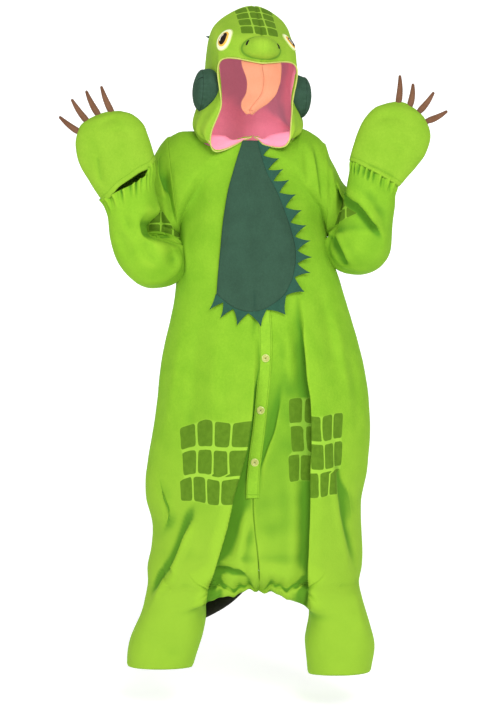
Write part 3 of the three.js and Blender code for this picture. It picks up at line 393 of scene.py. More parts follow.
class Fold:
    """A fold in hung cloth, along a line through places (x, z): how wide and deep it is, and
    the side on which its cloth stands proud (-1 or 1), or 0 for a trough and 2 for a ridge.
    `fade` is how much of its length, top and bottom, it takes to come and go, and `over` how
    far the proud side laps over. A fold that runs across is keyed by x, and its proud side
    is above (1) or below (-1)."""

    def __init__(self, places, width, depth, side=0, fade=(0.4, 0.4), across=False,
                 reach=5.0, over=0.7):
        keyed = [(x, z) if across else (-z, x) for x, z in places]
        self.line = smooth_table("key value", *keyed)
        self.first, self.last = keyed[0][0], keyed[-1][0]
        self.width, self.depth, self.side, self.fade = width, depth, side, fade
        self.across, self.reach, self.over = across, reach, over

    def at(self, x, z):
        """How far the cloth stands out there, how far its lip leans over, and how much shade is painted there
        (below 0, highlight).
        """
        key = x if self.across else -z
        share = (key - self.first) / (self.last - self.first)
        if not 0 < share < 1:
            return 0, 0, 0
        coming = min(share / self.fade[0], 1) if self.fade[0] else 1
        going = min((1 - share) / self.fade[1], 1) if self.fade[1] else 1
        strength = smooth(coming) * smooth(going)
        line = self.line(round(key, 1)).value
        off = ((z if self.across else x) - line) / self.width
        if abs(off) > 5 * self.reach:
            return 0, 0, 0
        weight = strength * strength * min(self.depth / 20, 1)
        if self.side in (0, 2):
            rise = (self.side - 1) * exp(-off * off)
            # A trough gets painted shade, a ridge painted highlight.
            return rise * self.depth * strength, 0, -OPEN_SHADE * rise * weight
        off *= self.side
        raised = 0.5 + 0.5 * tanh(1.7 * off)
        proud = 0.6 * raised * exp(-max(off, 0) / self.reach)
        low = 0.5 * (1 - raised) * exp(min(off, 0) / (0.6 * self.reach))
        lip, tuck = hump(off, 0.9, 0.75), hump(off, -0.9, 0.75)
        lean = self.side * self.over * self.width * max(0, 2 * strength - 1) * (tuck - lip)
        # Painted shade in the lap's shadow, reaching far across the low cloth under a big lap.
        fold_shading = hump(off, -0.5, 1.1)
        if off < 0:
            under = 0.6 if self.depth > BIG_LAP else 0.15
            fold_shading += 0.2 * exp(off / 2) + under * exp(off / 11)
        return self.depth * strength * (proud - low), lean, weight * fold_shading


def folded(folds, x, z):
    out = lean_x = lean_z = painted_shading = 0
    for fold in folds:
        step, lean, fold_shading = fold.at(x, z)
        out += step
        painted_shading += fold_shading
        if fold.across:
            lean_z += lean
        else:
            lean_x += lean
    return out, lean_x, lean_z, painted_shading


FRONT_FOLDS = [
    # The legs' columns of cloth lap over the web between them.
    Fold([(33, -400), (22, -440), (24, -508), (14, -582), (4, -640), (-5, -697), (-18, -743), (-31, -787),
          (-42, -841), (-52, -878), (-67, -928), (-80, -972), (-89, -1016), (-94, -1060), (-99, -1110),
          (-120, -1180)], 10, 52, -1, (0.3, 0.32), reach=8, over=1.25),
    Fold([(108, -300), (122, -445), (131, -497), (136, -551), (141, -582), (143, -660), (141, -752),
          (140, -841), (137, -934), (133, -1020), (128, -1090), (131, -1190)],
         10, 48, 1, (0.25, 0.3), reach=8, over=1.25),
    # The thighs' columns over the side cloth.
    Fold([(-112, -800), (-118, -832), (-135, -875), (-161, -938), (-191, -985), (-216, -1030), (-244, -1090)],
         10, 34, 1, (0.3, 0.45), reach=6, over=1.2),
    Fold([(177, -614), (189, -705), (202, -811), (213, -871), (238, -972), (250, -1040)], 10, 22, -1),
    Fold([(-206, -730), (-181, -800), (-172, -832), (-192, -890)], 8, 20, -1, (0.35, 0.35), over=1.1),
    Fold([(207, -740), (226, -800), (234, -870)], 8, 14, 1),
    # Drags beside the button band and down the web.
    Fold([(80, -520), (62, -638), (40, -700), (31, -730), (30, -800)], 9, 10, 1, over=0.5),
    Fold([(40, -780), (54, -890), (60, -990)], 24, 3, 0, (0.5, 0.5)),
    Fold([(4, -800), (-10, -880), (-24, -945)], 12, 10, 2, (0.4, 0.3)),
    Fold([(100, -690), (104, -840), (98, -1000)], 18, 8, 2, (0.4, 0.3)),
    Fold([(16, -300), (20, -380), (12, -470)], 9, 6),
    Fold([(84, -380), (92, -480), (96, -570)], 12, 7, 2),
    # Where the arms lift the chest.
    Fold([(-172, -30), (-163, -114), (-152, -180), (-143, -244), (-139, -301), (-150, -370)],
         8, 24, 1, (0.2, 0.35), reach=4.5, over=1.0),
    Fold([(139, 5), (156, -83), (165, -150), (176, -222)], 9, 16, -1, (0.3, 0.3), over=0.9),
    Fold([(126, -20), (134, -80), (140, -140)], 9, 8),
    Fold([(-78, -50), (-108, -120), (-124, -200)], 12, 8),
    Fold([(-92, -320), (-112, -480), (-126, -640), (-120, -780)], 20, 9),
    Fold([(-56, -380), (-72, -540), (-76, -700)], 22, 8, 2),
    Fold([(-140, -380), (-162, -520), (-180, -660)], 13, 10, 2),
    Fold([(150, -300), (178, -420), (196, -560)], 14, 9),
    Fold([(186, -360), (214, -480), (234, -620)], 12, 9, 2),
    Fold([(214, -430), (238, -540), (250, -680)], 12, 9),
    Fold([(-180, -470), (-196, -600), (-202, -700)], 11, 9),
    # Ankles: the wide hems sag over themselves.
    Fold([(-300, -1096), (-200, -1122), (-90, -1150)], 34, 5, 0, (0.2, 0.2), True),
    Fold([(-140, -960), (-158, -1060), (-168, -1180)], 26, 5, 0, (0.5, 0.2)),
    Fold([(196, -960), (200, -1080), (206, -1190)], 28, 4, 0, (0.5, 0.2)),
    Fold([(236, -960), (250, -1040), (262, -1120)], 14, 8, 2, (0.4, 0.3)),
    # The crotch edge rolls up over the back of the web.
    Fold([(-94, -978), (-62, -948), (-30, -949), (-4, -962), (14, -992)],
         9, 22, 1, (0.2, 0.25), True, 4, 0.5),
]
BACK_FOLDS = [
    Fold([(-46, -380), (-66, -560), (-84, -760), (-100, -930), (-98, -1040), (-110, -1180)],
         11, 34, -1, (0.45, 0.3), reach=7, over=1.1),
    Fold([(96, -360), (124, -560), (140, -760), (142, -930), (136, -1050), (134, -1180)],
         11, 34, 1, (0.45, 0.3), reach=7, over=1.1),
    Fold([(-120, -430), (-150, -600), (-165, -780)], 26, 8),
    Fold([(190, -420), (208, -600), (214, -780)], 24, 8),
    Fold([(20, -300), (28, -460), (34, -640)], 26, 7, 2),
    Fold([(-20, -560), (-24, -700), (-40, -860)], 22, 6, 2),
    Fold([(72, -560), (84, -720), (92, -900)], 22, 6),
    Fold([(-150, -30), (-140, -130), (-132, -240), (-138, -350)], 10, 20, 1, (0.3, 0.3)),
    Fold([(150, -30), (158, -130), (170, -240), (196, -350)], 10, 18, -1, (0.3, 0.3)),
    Fold([(-70, -40), (-92, -150), (-96, -280)], 18, 6),
    Fold([(72, -40), (100, -160), (110, -300)], 18, 6),
    Fold([(-110, -820), (-150, -930), (-196, -1030), (-230, -1100)], 12, 24, 1, (0.35, 0.4)),
    Fold([(190, -800), (216, -900), (244, -1010)], 12, 20, -1, (0.35, 0.4)),
    Fold([(-230, -1080), (-180, -1105), (-126, -1100)], 9, 6, 1, across=True),
    Fold([(150, -1120), (200, -1148), (262, -1136)], 9, 6, 1, across=True),
]


SHOULDER = {
    "right": smooth_table(
        "x lift",
        (96, 0), (112, 3), (125, 6), (150, 8), (164, 4), (172, 1), (180, 3), (192, 5), (202, 3), (214, 0)),
    "left": smooth_table(
        "x lift",
        (96, 0), (108, 6), (118, 13), (134, 12), (150, 6), (162, 0), (172, -8), (182, -12), (192, -9),
        (204, -3), (216, 0)),
}


def round_shoulder(side, p):
    """Lifts or lowers the cloth along the top of the shoulder."""
    if not 96 < abs(p.x) < 215 or p.z < -80:
        return 0
    return SHOULDER[side](round(abs(p.x), 1)).lift * smooth(min((p.z + 80) / 60, 1))


def panel_shape(side, face, u, v):
    """A place on a body panel before it is folded, and how freely it hangs there: u runs from
    the centre or inseam to the side, v from the shoulder seam down to the ankle."""
    sign = SIDES[side]
    row = v * LAST_ROW
    forward = -1 if face == "front" else 1
    if row <= YOKE_ROWS:
        t = row / YOKE_ROWS
        back_angle = 96 + 12 * row if row <= 2 else 120 + 10 * (row - 2)
        inner = neckline(side, 96 - 12 * row if face == "front" else back_angle)
        outer, _ = sleeve_point(side, 0, (-1 if face == "front" else 1) * ARMHOLE_STEP * row)
        start, swell, roundness = 90, 104 * t, t
    else:
        b = body_at[side](row)
        y, z = (b.front, b.front_z) if face == "front" else (b.back, b.back_z)
        if row >= CROTCH_ROW:
            y, z = 0, (b.front_z + b.back_z) / 2
        inner = Vector((b.inner, min(y, 0) if face == "front" else max(y, 0), z))
        outer = Vector((sign * b.outer, 0, b.outer_z))
        start, swell, roundness = max(b.start, 0), b.fore if face == "front" else b.aft, 1
    start = radians(start)
    angle = mix(start, pi, u)
    along = (cos(start) - cos(angle)) / (1 + cos(start))
    # The cloth of a leg hangs squarer than a tube.
    square = 1 - 0.52 * clamped((row - 22) / 1.6) + 0.3 * clamped((row - 25.5) / 3)
    out = max(sin(angle), 0) ** square - sin(start) ** square * (1 - u)
    p = inner.lerp(outer, u)
    p.x = mix(p.x, mix(inner.x, outer.x, along), roundness)
    p.y += forward * swell * out * roundness
    if row > 22.5:
        # Only the edge of the cloth is drawn up to the inseam's height.
        p.z = mix(outer.z, inner.z, mix(1 - u, (1 - u) ** 4, min(row - 22.5, 1)))
    return p, max(sin(angle), 0) ** square * min(row / 3, 1)


def panel_point(side, face, u, v):
    """A place on a body panel as it hangs in its folds, and how much shade is painted there."""
    row = v * LAST_ROW
    forward = -1 if face == "front" else 1
    p, hold = panel_shape(side, face, u, v)
    step, lean_x, lean_z, painted_shading = folded(FRONT_FOLDS if face == "front" else BACK_FOLDS, p.x, p.z)
    p.y += forward * step * hold
    p.x += lean_x * hold
    p.z += lean_z * hold + round_shoulder(side, p)
    # Gathers under the crotch edge, and its uneven hang.
    if row > 21:
        low = max(0, 1 - abs(p.z + 988) / 40) * max(0, 1 - abs(p.x + 40) / 60)
        p.y += 3.5 * low * sin(p.x * 0.2 + 1.3 * sin(p.x * 0.09))
        web = hump(row, CROTCH_ROW, 1.1) * max(0, 1 - abs((p.x - 25) / 122) ** 6)
        p.z += 5.5 * web * sin(p.x * 0.105 + 1.6) + 2.5 * web * sin(p.x * 0.27)
    return p, painted_shading * hold


def cells(across, down):
    return ((across, down))


PANEL_CELLS = cells(150, 190)


def lay_cloth(across, down, place, size=(1, 1), welded=False):
    """A sheet cut on a grid and laid where place(u, v) says, in millimetres. Its map, "cloth",
    runs across and down it in metres."""
    cut = bmesh.new()
    flat = cut.loops.layers.uv.new("cloth")
    bmesh.ops.create_grid(cut, x_segments=across, y_segments=down, size=0.5, calc_uvs=True)
    for face in cut.faces:
        for loop in face.loops:
            u, v = loop.vert.co.x + 0.5, 0.5 - loop.vert.co.y
            loop[flat].uv = (u * size[0], v * size[1])
    shading_layer = cut.verts.layers.float.new("painted_shading")
    for vertex in cut.verts:
        found = place(vertex.co.x + 0.5, 0.5 - vertex.co.y)
        # A place may come with the amount of shade to paint there.
        if isinstance(found, tuple):
            found, vertex[shading_layer] = found
        vertex.co = found * MM
    if welded:
        bmesh.ops.remove_doubles(cut, verts=cut.verts, dist=1e-5)
    cut.normal_update()
    return cut


def ease(cut, rows, turns=45, across=(0, 1)):
    """Lets out a crease in a body panel, between two rows and two shares of its width."""
    flat = cut.loops.layers.uv["cloth"]
    eased = [
        vertex for vertex in cut.verts if not vertex.is_boundary
        and rows[0] < vertex.link_loops[0][flat].uv.y / PANEL_SIZE[1] * LAST_ROW < rows[1]
        and across[0] < vertex.link_loops[0][flat].uv.x / PANEL_SIZE[0] < across[1]]
    for _ in range(turns):
        bmesh.ops.smooth_vert(
            cut, verts=eased, factor=0.5, use_axis_x=True, use_axis_y=True, use_axis_z=True)


FORWARD = Vector((0, -1, 0))


def face_out(cut, facing=lambda p: FORWARD):
    """Turns a sheet's faces to the way that facing(place) points."""
    agreement = sum(
        face.normal.dot(facing(face.calc_center_median() / MM)) * face.calc_area() for face in cut.faces)
    if agreement < 0:
        bmesh.ops.reverse_faces(cut, faces=cut.faces)
        cut.normal_update()


def soften(cut, amount=2.2, scale=9.0, dip=SEAM_DIP):
    """Small unevenness of hung cloth, and edges drawn in where they are sewn."""
    moves = []
    for vertex in cut.verts:
        p = vertex.co
        wave = noise.noise(p * scale) + 0.4 * noise.noise(p * scale * 2.7)
        move = vertex.normal * (wave * amount * MM)
        if vertex.is_boundary:
            move -= vertex.normal * (dip * MM)
        moves.append(move)
    for vertex, move in zip(cut.verts, moves):
        vertex.co += move
    cut.normal_update()
    mark_painted_shading(cut)


def mark_painted_shading(cut, full=3.2, passes=9):
    """Adds to the sheet's attribute "painted_shading" how much shade is painted where each place lies in a
    dip (or, below 0, how much highlight where it lies on a ridge), by comparing it with the same sheet
    smoothed."""
    shading_layer = cut.verts.layers.float["painted_shading"]
    cut.verts.index_update()
    near = [[edge.other_vert(vertex).index for edge in vertex.link_edges] for vertex in cut.verts]
    places = [vertex.co.copy() for vertex in cut.verts]
    for _ in range(passes):
        places = [sum((places[j] for j in ring), Vector()) / len(ring) for ring in near]
    for vertex, place in zip(cut.verts, places):
        if not vertex.is_boundary:
            dip = (place - vertex.co).dot(vertex.normal) / MM / full
            vertex[shading_layer] += min(max(dip, -0.8), 0.8)


def finish_piece(name, cut, material, nodes=(), thick=None, inner=None):
    """Makes a piece that rides on the garment and stands for its solids."""
    mesh = bpy.data.meshes.new(name)
    cut.to_mesh(mesh)
    cut.free()
    mesh.shade_smooth()
    mesh.materials.append(material)
    made = bpy.data.objects.new(name, mesh)
    scene.collection.objects.link(made)
    if thick:
        wall = made.modifiers.new("wall", "SOLIDIFY")
        wall.thickness = thick
        wall.offset = -1
        if inner is not None:
            mesh.materials.append(inner)
            wall.material_offset = 1
    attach(made, "root")
    if nodes:
        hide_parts(*nodes)
    return made


# How much of each colour channel is left where shade is painted into a fold, and how far it is lifted where
# highlight is painted onto a ridge.
SHADE_IN_FOLDS = (0.3, 0.5, 0.55)
HIGHLIGHT_ON_RIDGES = (1.22, 1.1, 1.25)


def fleece(name, colour, shade, pile=1.0, sheen=0.28, painted_light=None):
    """Brushed fleece: two tones that drift where the pile lies over, and a fine felted bump."""
    made = Finish(
        name, Roughness=0.92, Sheen_Weight=sheen, Sheen_Roughness=0.45, Sheen_Tint=colour,
        Specular_IOR_Level=0.18)
    place = made.object_place()
    fibre = made.grain(place, 760.0, 3.0, 0.65)
    tuft = made.grain(place, 210.0, 2.0, 0.6)
    brushed = made.grain(place, 24.0, 2.0, 0.5)
    tone = (0.45 * fibre + 0.35 * tuft + 0.5 * brushed).rise(0.38, 0.92)
    made.colour = made.blend(shade, colour, tone)
    # Light painted into the colour lower down, where it is given.
    if painted_light:
        made.colour = painted_light(made, made.colour)
    # Shade painted into folds and dips, and highlight painted onto ridges, as the attribute says.
    painted_shading = made.node("ShaderNodeAttribute", {"attribute_name": "painted_shading"}, out="Fac")
    deep = tuple(channel ** 1.08 * share for channel, share in zip(colour[:3], SHADE_IN_FOLDS)) + (1.0,)
    raised = tuple(min(channel * share, 1) for channel, share in zip(colour[:3], HIGHLIGHT_ON_RIDGES)) + (1.0,)
    made.colour = made.blend(made.colour, deep, painted_shading.rise(0.05, 1.15) * 0.85)
    made.colour = made.blend(made.colour, raised, painted_shading.rise(-0.08, -0.9) * 0.6)
    made.height = (0.5 * fibre + 0.5 * tuft) * pile
    return made


def painted_light_low(made, colour):
    """Down the legs the green is painted paler and yellower, as if more light falls there."""
    height = made.node("ShaderNodeSeparateXYZ", {}, {0: made.object_place()}, out=2)
    patchy = made.grain(made.object_place(), 5.0, 2.0)
    return made.blend(colour, LIT_LOW_GREEN, (height + 0.3 * (patchy - 0.5)).rise(-0.5, -1.0) * 0.7)


def scale_print(made, columns, rows):
    """Rounded scales printed on the cloth, a cell to each unit of the map "print"."""
    across, down = made.uv("print")
    drift = made.grain(made.object_place(), 16.0, 1.0)
    drift_down = made.grain(made.object_place(), 13.0, 1.0)
    x = across + 0.16 * (drift - 0.5)
    y = down + 0.18 * (drift_down - 0.5) + 0.05 * (across * 1.7).wave()
    from_side = (x.part() - 0.5).size() * 2
    from_end = (y.part() - 0.5).size() * 2
    corner = (from_side ** 7 + from_end ** 7) ** (1 / 7)
    shape = corner.rise(0.9, 0.868)
    column, row = x.whole(), y.whole()
    inside = (column + 0.5).over(0) * (columns - column).over(0.5)
    inside = inside * (row + 0.5).over(0) * (rows - row).over(0.5)
    between = x.rise(0.0, 0.16) * (columns - x).rise(0.0, 0.16)
    between = between * y.rise(0.0, 0.12) * (rows - y).rise(0.0, 0.12)
    rubbed = made.grain(made.object_place(), 90.0, 2.0)
    ink = made.blend(PRINT_GREEN, rgb(87, 124, 24), rubbed.rise(0.3, 0.7))
    lined = made.blend(made.colour, PRINT_LINE, inside * between * 0.45)
    return made.blend(lined, ink, shape * inside)


BODY_BUMP = 0.55
body_green = fleece("green_fleece", GREEN, GREEN_SHADE, painted_light=painted_light_low).close(strength=BODY_BUMP)
front_green = {}
for side, columns in [("right", 4), ("left", 5)]:
    front_fleece = fleece(f"front_{side}_fleece", GREEN, GREEN_SHADE, painted_light=painted_light_low)
    front_green[side] = front_fleece.close(scale_print(front_fleece, columns, 3), strength=BODY_BUMP)


def scale_lines(start, width, count, narrower=0.1, stagger=6, drawn_in=3):
    """The lines between the scales of three rows, at each row's top and foot: evenly spaced,
    each row narrower than the one above, and every other row stepped along."""
    def edge(row, inset):
        first = start + stagger * (row % 2) + inset
        step = width * (1 - narrower * row) - 2 * inset / count
        return [first + step * cell for cell in range(count + 1)]
    return [[edge(row, inset) for inset in (0, drawn_in)] for row in range(3)]


def print_block(until, first, top, lines, droop=0):
    rows = [top - SCALE_TALL * row for row in range(4)]
    return Sizes(until=until, first=first, droop=droop, rows=rows, lines=lines)


# The thigh prints are in blocks, because a deep fold swallows some cloth. Each block has the
# x where it ends, its first column, its top, and the lines between its scales.
SCALE_TALL = 62
PRINTS = {
    "right": [print_block(400, 0, -624, scale_lines(-150, 39, 4), droop=20)],
    "left": [
        print_block(141, 0, -578, scale_lines(88, 34, 2)),
        print_block(400, 2, -610, scale_lines(140, 24, 3))],
}


def cell_number(value, lines):
    """Where a value lies between lines, counted in cells, and as evenly beyond their ends."""
    i = 0
    while i < len(lines) - 2 and (value - lines[i + 1]) * (lines[1] - lines[0]) > 0:
        i += 1
    return i + (value - lines[i]) / (lines[i + 1] - lines[i])


def mark_print(cut, side):
    """Adds the map "print" to a front, by the places its cloth has before it is folded."""
    mark = cut.loops.layers.uv.new("print")
    flat = cut.loops.layers.uv["cloth"]
    for face in cut.faces:
        maps = [loop[flat].uv for loop in face.loops]
        places = [
            panel_shape(side, "front", spot.x / PANEL_SIZE[0], spot.y / PANEL_SIZE[1])[0] for spot in maps]
        middle = sum(place.x for place in places) / len(places)
        p = next(block for block in PRINTS[side] if middle < block.until)
        for loop, (x, _, z) in zip(face.loops, places):
            z += p.droop * clamped((-90 - x) / 62) * clamped((z + 812) / 185)
            down = cell_number(z, p.rows)
            row = min(max(int(down), 0), len(p.lines) - 1)
            top, foot = p.lines[row]
            lines = [mix(a, b, clamped(down - row)) for a, b in zip(top, foot)]
            loop[mark].uv = (p.first + cell_number(x, lines), down)


def map_print(cut, size, spot):
    """Adds the map "print": spot(place, across, down) finds it from where a corner lies, in
    millimetres, and from its shares of the way across and down the sheet."""
    mark = cut.loops.layers.uv.new("print")
    flat = cut.loops.layers.uv["cloth"]
    for face in cut.faces:
        for loop in face.loops:
            across, down = loop[flat].uv
            loop[mark].uv = spot(loop.vert.co / MM, across / size[0], down / size[1])


def from_body_axis(side):
    leg = SIDES[side] * MIDDLE.leg
    return lambda p: p - Vector((leg if p.z < MIDDLE.leg_top else MIDDLE.body, 0, p.z))


fronts = {}
for side in SIDES:
    for face in ("front", "back"):
        panel = lay_cloth(*PANEL_CELLS, lambda u, v: panel_point(side, face, u, v), PANEL_SIZE)
        ease(panel, YOKE_EASE)
        ease(panel, CROTCH_EASE, 10, CROTCH_ACROSS)
        face_out(panel, from_body_axis(side))
        soften(panel)
        if face == "front":
            mark_print(panel, side)
            fronts[side] = BVHTree.FromBMesh(panel)
        made = finish_piece(
            f"{face}_{side}_cloth", panel, front_green[side] if face == "front" else body_green,
            [f"{face}_{side}"], CLOTH, body_green)

# -------------------------------------------------------------------------------- sleeves
# Wide dropped sleeves of the same fleece, set in at the armhole and gathered at the wrist.
# The arms are raised, so each hangs in a bag at the elbow and folds back up to the mitt.
SLEEVE_FOLDS = {
    "right": [
        Fold([(-192, -24), (-197, -74), (-185, -117), (-168, -145)], 8, 16, -1, (0.3, 0.3), reach=4),
        Fold([(-178, -60), (-172, -120), (-162, -200)], 9, 14, 0, (0.3, 0.3)),
        Fold([(-205, -140), (-190, -190), (-172, -240)], 10, 9, 0, (0.3, 0.3)),
        Fold([(-290, -190), (-268, -240), (-252, -300)], 15, 6),
        Fold([(-262, -160), (-258, -200), (-240, -240)], 10, 5, 0, (0.4, 0.5)),
        Fold([(-222, -222), (-212, -262), (-190, -296)], 15, 7, 0, (0.3, 0.4)),
        Fold([(-170, -226), (-164, -262), (-160, -300)], 9, 10, 0, (0.3, 0.4)),
    ],
    "left": [
        Fold([(196, -104), (208, -128), (224, -146), (240, -158), (267, -190), (300, -230)],
             7, 34, 1, (0.1, 0.3), True, 7, 1.3),
        Fold([(186, -205), (206, -250), (232, -300)], 9, 16, 1, (0.2, 0.3), over=1.0),
        Fold([(160, -60), (178, -120), (190, -180)], 13, 6),
        Fold([(186, -50), (196, -100), (204, -150)], 9, 9, 2, (0.3, 0.3)),
        Fold([(262, -120), (276, -160), (296, -200)], 14, 4),
    ],
}
# The slit across the right palm: how far its two edges stand apart from the seam.
SLIT = smooth_table(
    "share palm sleeve",
    (0, 4, -10), (0.12, 6, -4), (0.2, 4, 0), (0.32, 2, 5), (0.5, 5, 12), (0.7, 8, 16), (0.8, 12, 16),
    (0.87, 14, 8), (1, 6, -8))
SLIT_WAY = Vector((0.65, 0, -0.76))
SLEEVE_SIZE = (0.42, 0.62)
LAST_RING = 12
ELBOW_RING = 6.2
ELBOW_BAG = {"right": 18, "left": 15}


def sleeve_cloth(side, u, v):
    ring, angle = v * LAST_RING, u * 360
    a = radians(angle)
    p, centre = sleeve_point(side, ring, angle)
    way = (p - centre).normalized()
    inner = max(0.0, -cos(a))
    # The bag at the elbow lies against the body.
    p += way * (ELBOW_BAG[side] * hump(ring, ELBOW_RING, 1.5) * inner * inner)
    if side == "right" and ring > 6:
        # Above the bag the cloth is nipped in, so the crook of the arm shows.
        above = clamped((p.z + 246) / 26) * clamped((-164 - p.z) / 44)
        nip = 0.68 * smooth(above) * min(inner * 1.7, 1)
        p = p.lerp(Vector((centre.x - 6, p.y, p.z)), nip)
    front = clamped((centre.y + 10 - p.y) / 20)
    step, lean_x, lean_z, painted_shading = folded(SLEEVE_FOLDS[side], p.x, p.z)
    seated = front * min(ring / 0.8, 1) * (1 - clamped(ring - 10.6) if side == "left" else 1)
    p += Vector((lean_x, -step, lean_z)) * seated
    # Gathers where the wrist is drawn in.
    near_wrist = clamped((ring - 10.55) / 0.45 if side == "left" else (ring - 10.1) / 1.2)
    gather = sin(a * 21 + 2 * sin(a * 3)) + 0.5 * sin(a * 34 + 1)
    p += way * (4.0 * near_wrist * gather)
    # Painted shade in the dips of the gathers.
    painted_shading += 0.5 * near_wrist * max(-gather, 0)
    if side == "left" and ring > 5:
        # Painted shade on the cloth of the forearm, which lies in under the paw.
        painted_shading += 0.42 * min((ring - 5) / 2, 1)
    if side == "right" and ring > 9:
        share = (1 - cos(a)) / 2
        facing = min(max(sin(a) * 5, -1), 1)
        opening = mix(-14, SLIT(round(share, 3)).sleeve, (facing + 1) / 2)
        p += SLIT_WAY * (opening * ((ring - 9) / 3) ** 2)
    # The bag creases on its inner side.
    elbow = exp(-((ring - ELBOW_RING) ** 2) / 3)
    p += way * (4 * elbow * sin(ring * 5.2 + 1.5 * sin(a)) * sin(a / 2))
    p.z += round_shoulder(side, p)
    return p, painted_shading * seated


sleeve_fleece = fleece("sleeve_fleece", GREEN, GREEN_SHADE)
sleeve_green = sleeve_fleece.close(scale_print(sleeve_fleece, 3, 3), strength=BODY_BUMP)
OFF_THE_PRINT = 40
SLEEVE_PRINTS = {
    "right": Sizes(x=-218, z=-166, wide=27, tall=27, lean=0, rings=(2.2, 4.7)),
    "left": Sizes(x=190, z=-123, wide=25, tall=26, lean=0.464, rings=(2.2, 9.5)),
}


def sleeve_spot(place, across, down):
    x, y, z = place
    p = SLEEVE_PRINTS[side]
    above_lap = side == "right" or down * LAST_RING < 5 or z < SLEEVE_FOLDS["left"][0].line(round(x, 1)).value
    shown = p.rings[0] < down * LAST_RING < p.rings[1] and y < 30 and above_lap
    return (x - p.x) / p.wide + (0 if shown else OFF_THE_PRINT), (p.z + p.lean * (x - p.x) - z) / p.tall


for side in SIDES:
    sleeve = lay_cloth(
        *cells(156, 150),
        lambda u, v: sleeve_cloth(side, u, v), SLEEVE_SIZE, welded=True)
    face_out(sleeve, lambda p: p - Vector((SIDES[side] * 225, -60, -190)))
    soften(sleeve)
    map_print(sleeve, SLEEVE_SIZE, sleeve_spot)
    made = finish_piece(
        f"sleeve_{side}_cloth", sleeve, sleeve_green, [f"sleeve_{side}"], CLOTH, body_green)

# ---------------------------------------------------------------------------- paw mitts
# Each mitt is two shaped layers of the fleece, palm and back, sewn round the edge. The right
# one folds back from its sleeve at a slit across the palm; the left hangs over its sleeve
# with a turned and stitched hem.
PAW_Y = -150
PAW_ROWS = 9
PAW_SIZE = (0.18, 0.2)
PAW_CROWN = {"right": 6, "left": 10}
HEM_LINE = 0.011
PAW_NAMES = "row outer outer_z inner inner_z palm back"
paw_at = {
    "right": smooth_table(
        PAW_NAMES,
        (0, 311, -152, 200, -57, 36, 29),
        (2, 338, -114, 208, -25, 37, 33),
        (4, 361, -74, 215, -5, 36, 34),
        (6, 371, -31, 226, 18, 31, 31),
        (8, 363, 8, 250, 39, 20, 20),
        (9, 347, 25, 277, 46, 0, 0)),
    "left": smooth_table(
        PAW_NAMES,
        (0, 329, -121, 221, -63, 30, 29),
        (2, 361, -84, 231, -28, 35, 33),
        (4, 386, -48, 241, 2, 36, 34),
        (6, 397, -9, 255, 29, 31, 31),
        (8, 385, 30, 278, 52, 20, 20),
        (9, 367, 49, 303, 62, 0, 0)),
}
PAW_FOLDS = {
    "right": [
        Fold([(-322, -40), (-318, -80), (-312, -118)], 7, 5, 0, (0.4, 0.2)),
        Fold([(-300, -8), (-270, -2), (-240, -14)], 9, 3, 0, across=True),
        Fold([(-330, 2), (-290, 20), (-262, 12)], 8, 3, 0, across=True),
    ],
    "left": [
        Fold([(262, 20), (312, 26), (360, 8)], 9, 3.5, 0, across=True),
        Fold([(290, -30), (318, -34), (350, -50)], 9, 3, 0, across=True),
        Fold([(250, -70), (290, -86), (330, -108)], 5, 3.5, 0, (0.2, 0.2), True),
    ],
}


def paw_point(side, face, u, v):
    s = paw_at[side](v * PAW_ROWS)
    angle = pi * u
    share = (1 - cos(angle)) / 2
    swell = -s.palm if face == "palm" else s.back
    p = Vector((
        SIDES[side] * mix(s.outer, s.inner, share), PAW_Y + swell * sin(angle),
        mix(s.outer_z, s.inner_z, share)))
    step, _, _, _ = folded(PAW_FOLDS[side], p.x, p.z)
    p.y += (-1 if face == "palm" else 1) * step * sin(angle)
    crown = PAW_CROWN[side] * clamped((v - 0.55) / 0.45) ** 1.5
    p.z += crown * (1 - (2 * share - 1) ** 2)
    if face == "palm" and side == "right":
        p += SLIT_WAY * (SLIT(round(share, 3)).palm * max(0, 1 - v * 4) ** 1.5)
    return p


paw_fleece = fleece("paw_fleece", rgb(135, 176, 46), rgb(118, 162, 36), sheen=0.3)
_, down_paw = paw_fleece.uv("cloth")
hem_groove = 1 - (down_paw - HEM_LINE).size().rise(0.0, 0.0016)
paw_green = paw_fleece.close(
    paw_fleece.blend(paw_fleece.colour, GREEN_SHADE, hem_groove * 0.5),
    paw_fleece.height - 1.2 * hem_groove)
for side in SIDES:
    for face in ("palm", "back"):
        layer = lay_cloth(
            *cells(56, 64),
            lambda u, v: paw_point(side, face, u, v), PAW_SIZE)
        face_out(layer, lambda p: p - Vector((p.x, PAW_Y, p.z)))
        soften(layer, 1.6, 14)
        made = finish_piece(
            f"paw_{face}_{side}_cloth", layer, paw_green, [f"paw_{face}_{side}"], CLOTH, body_green)

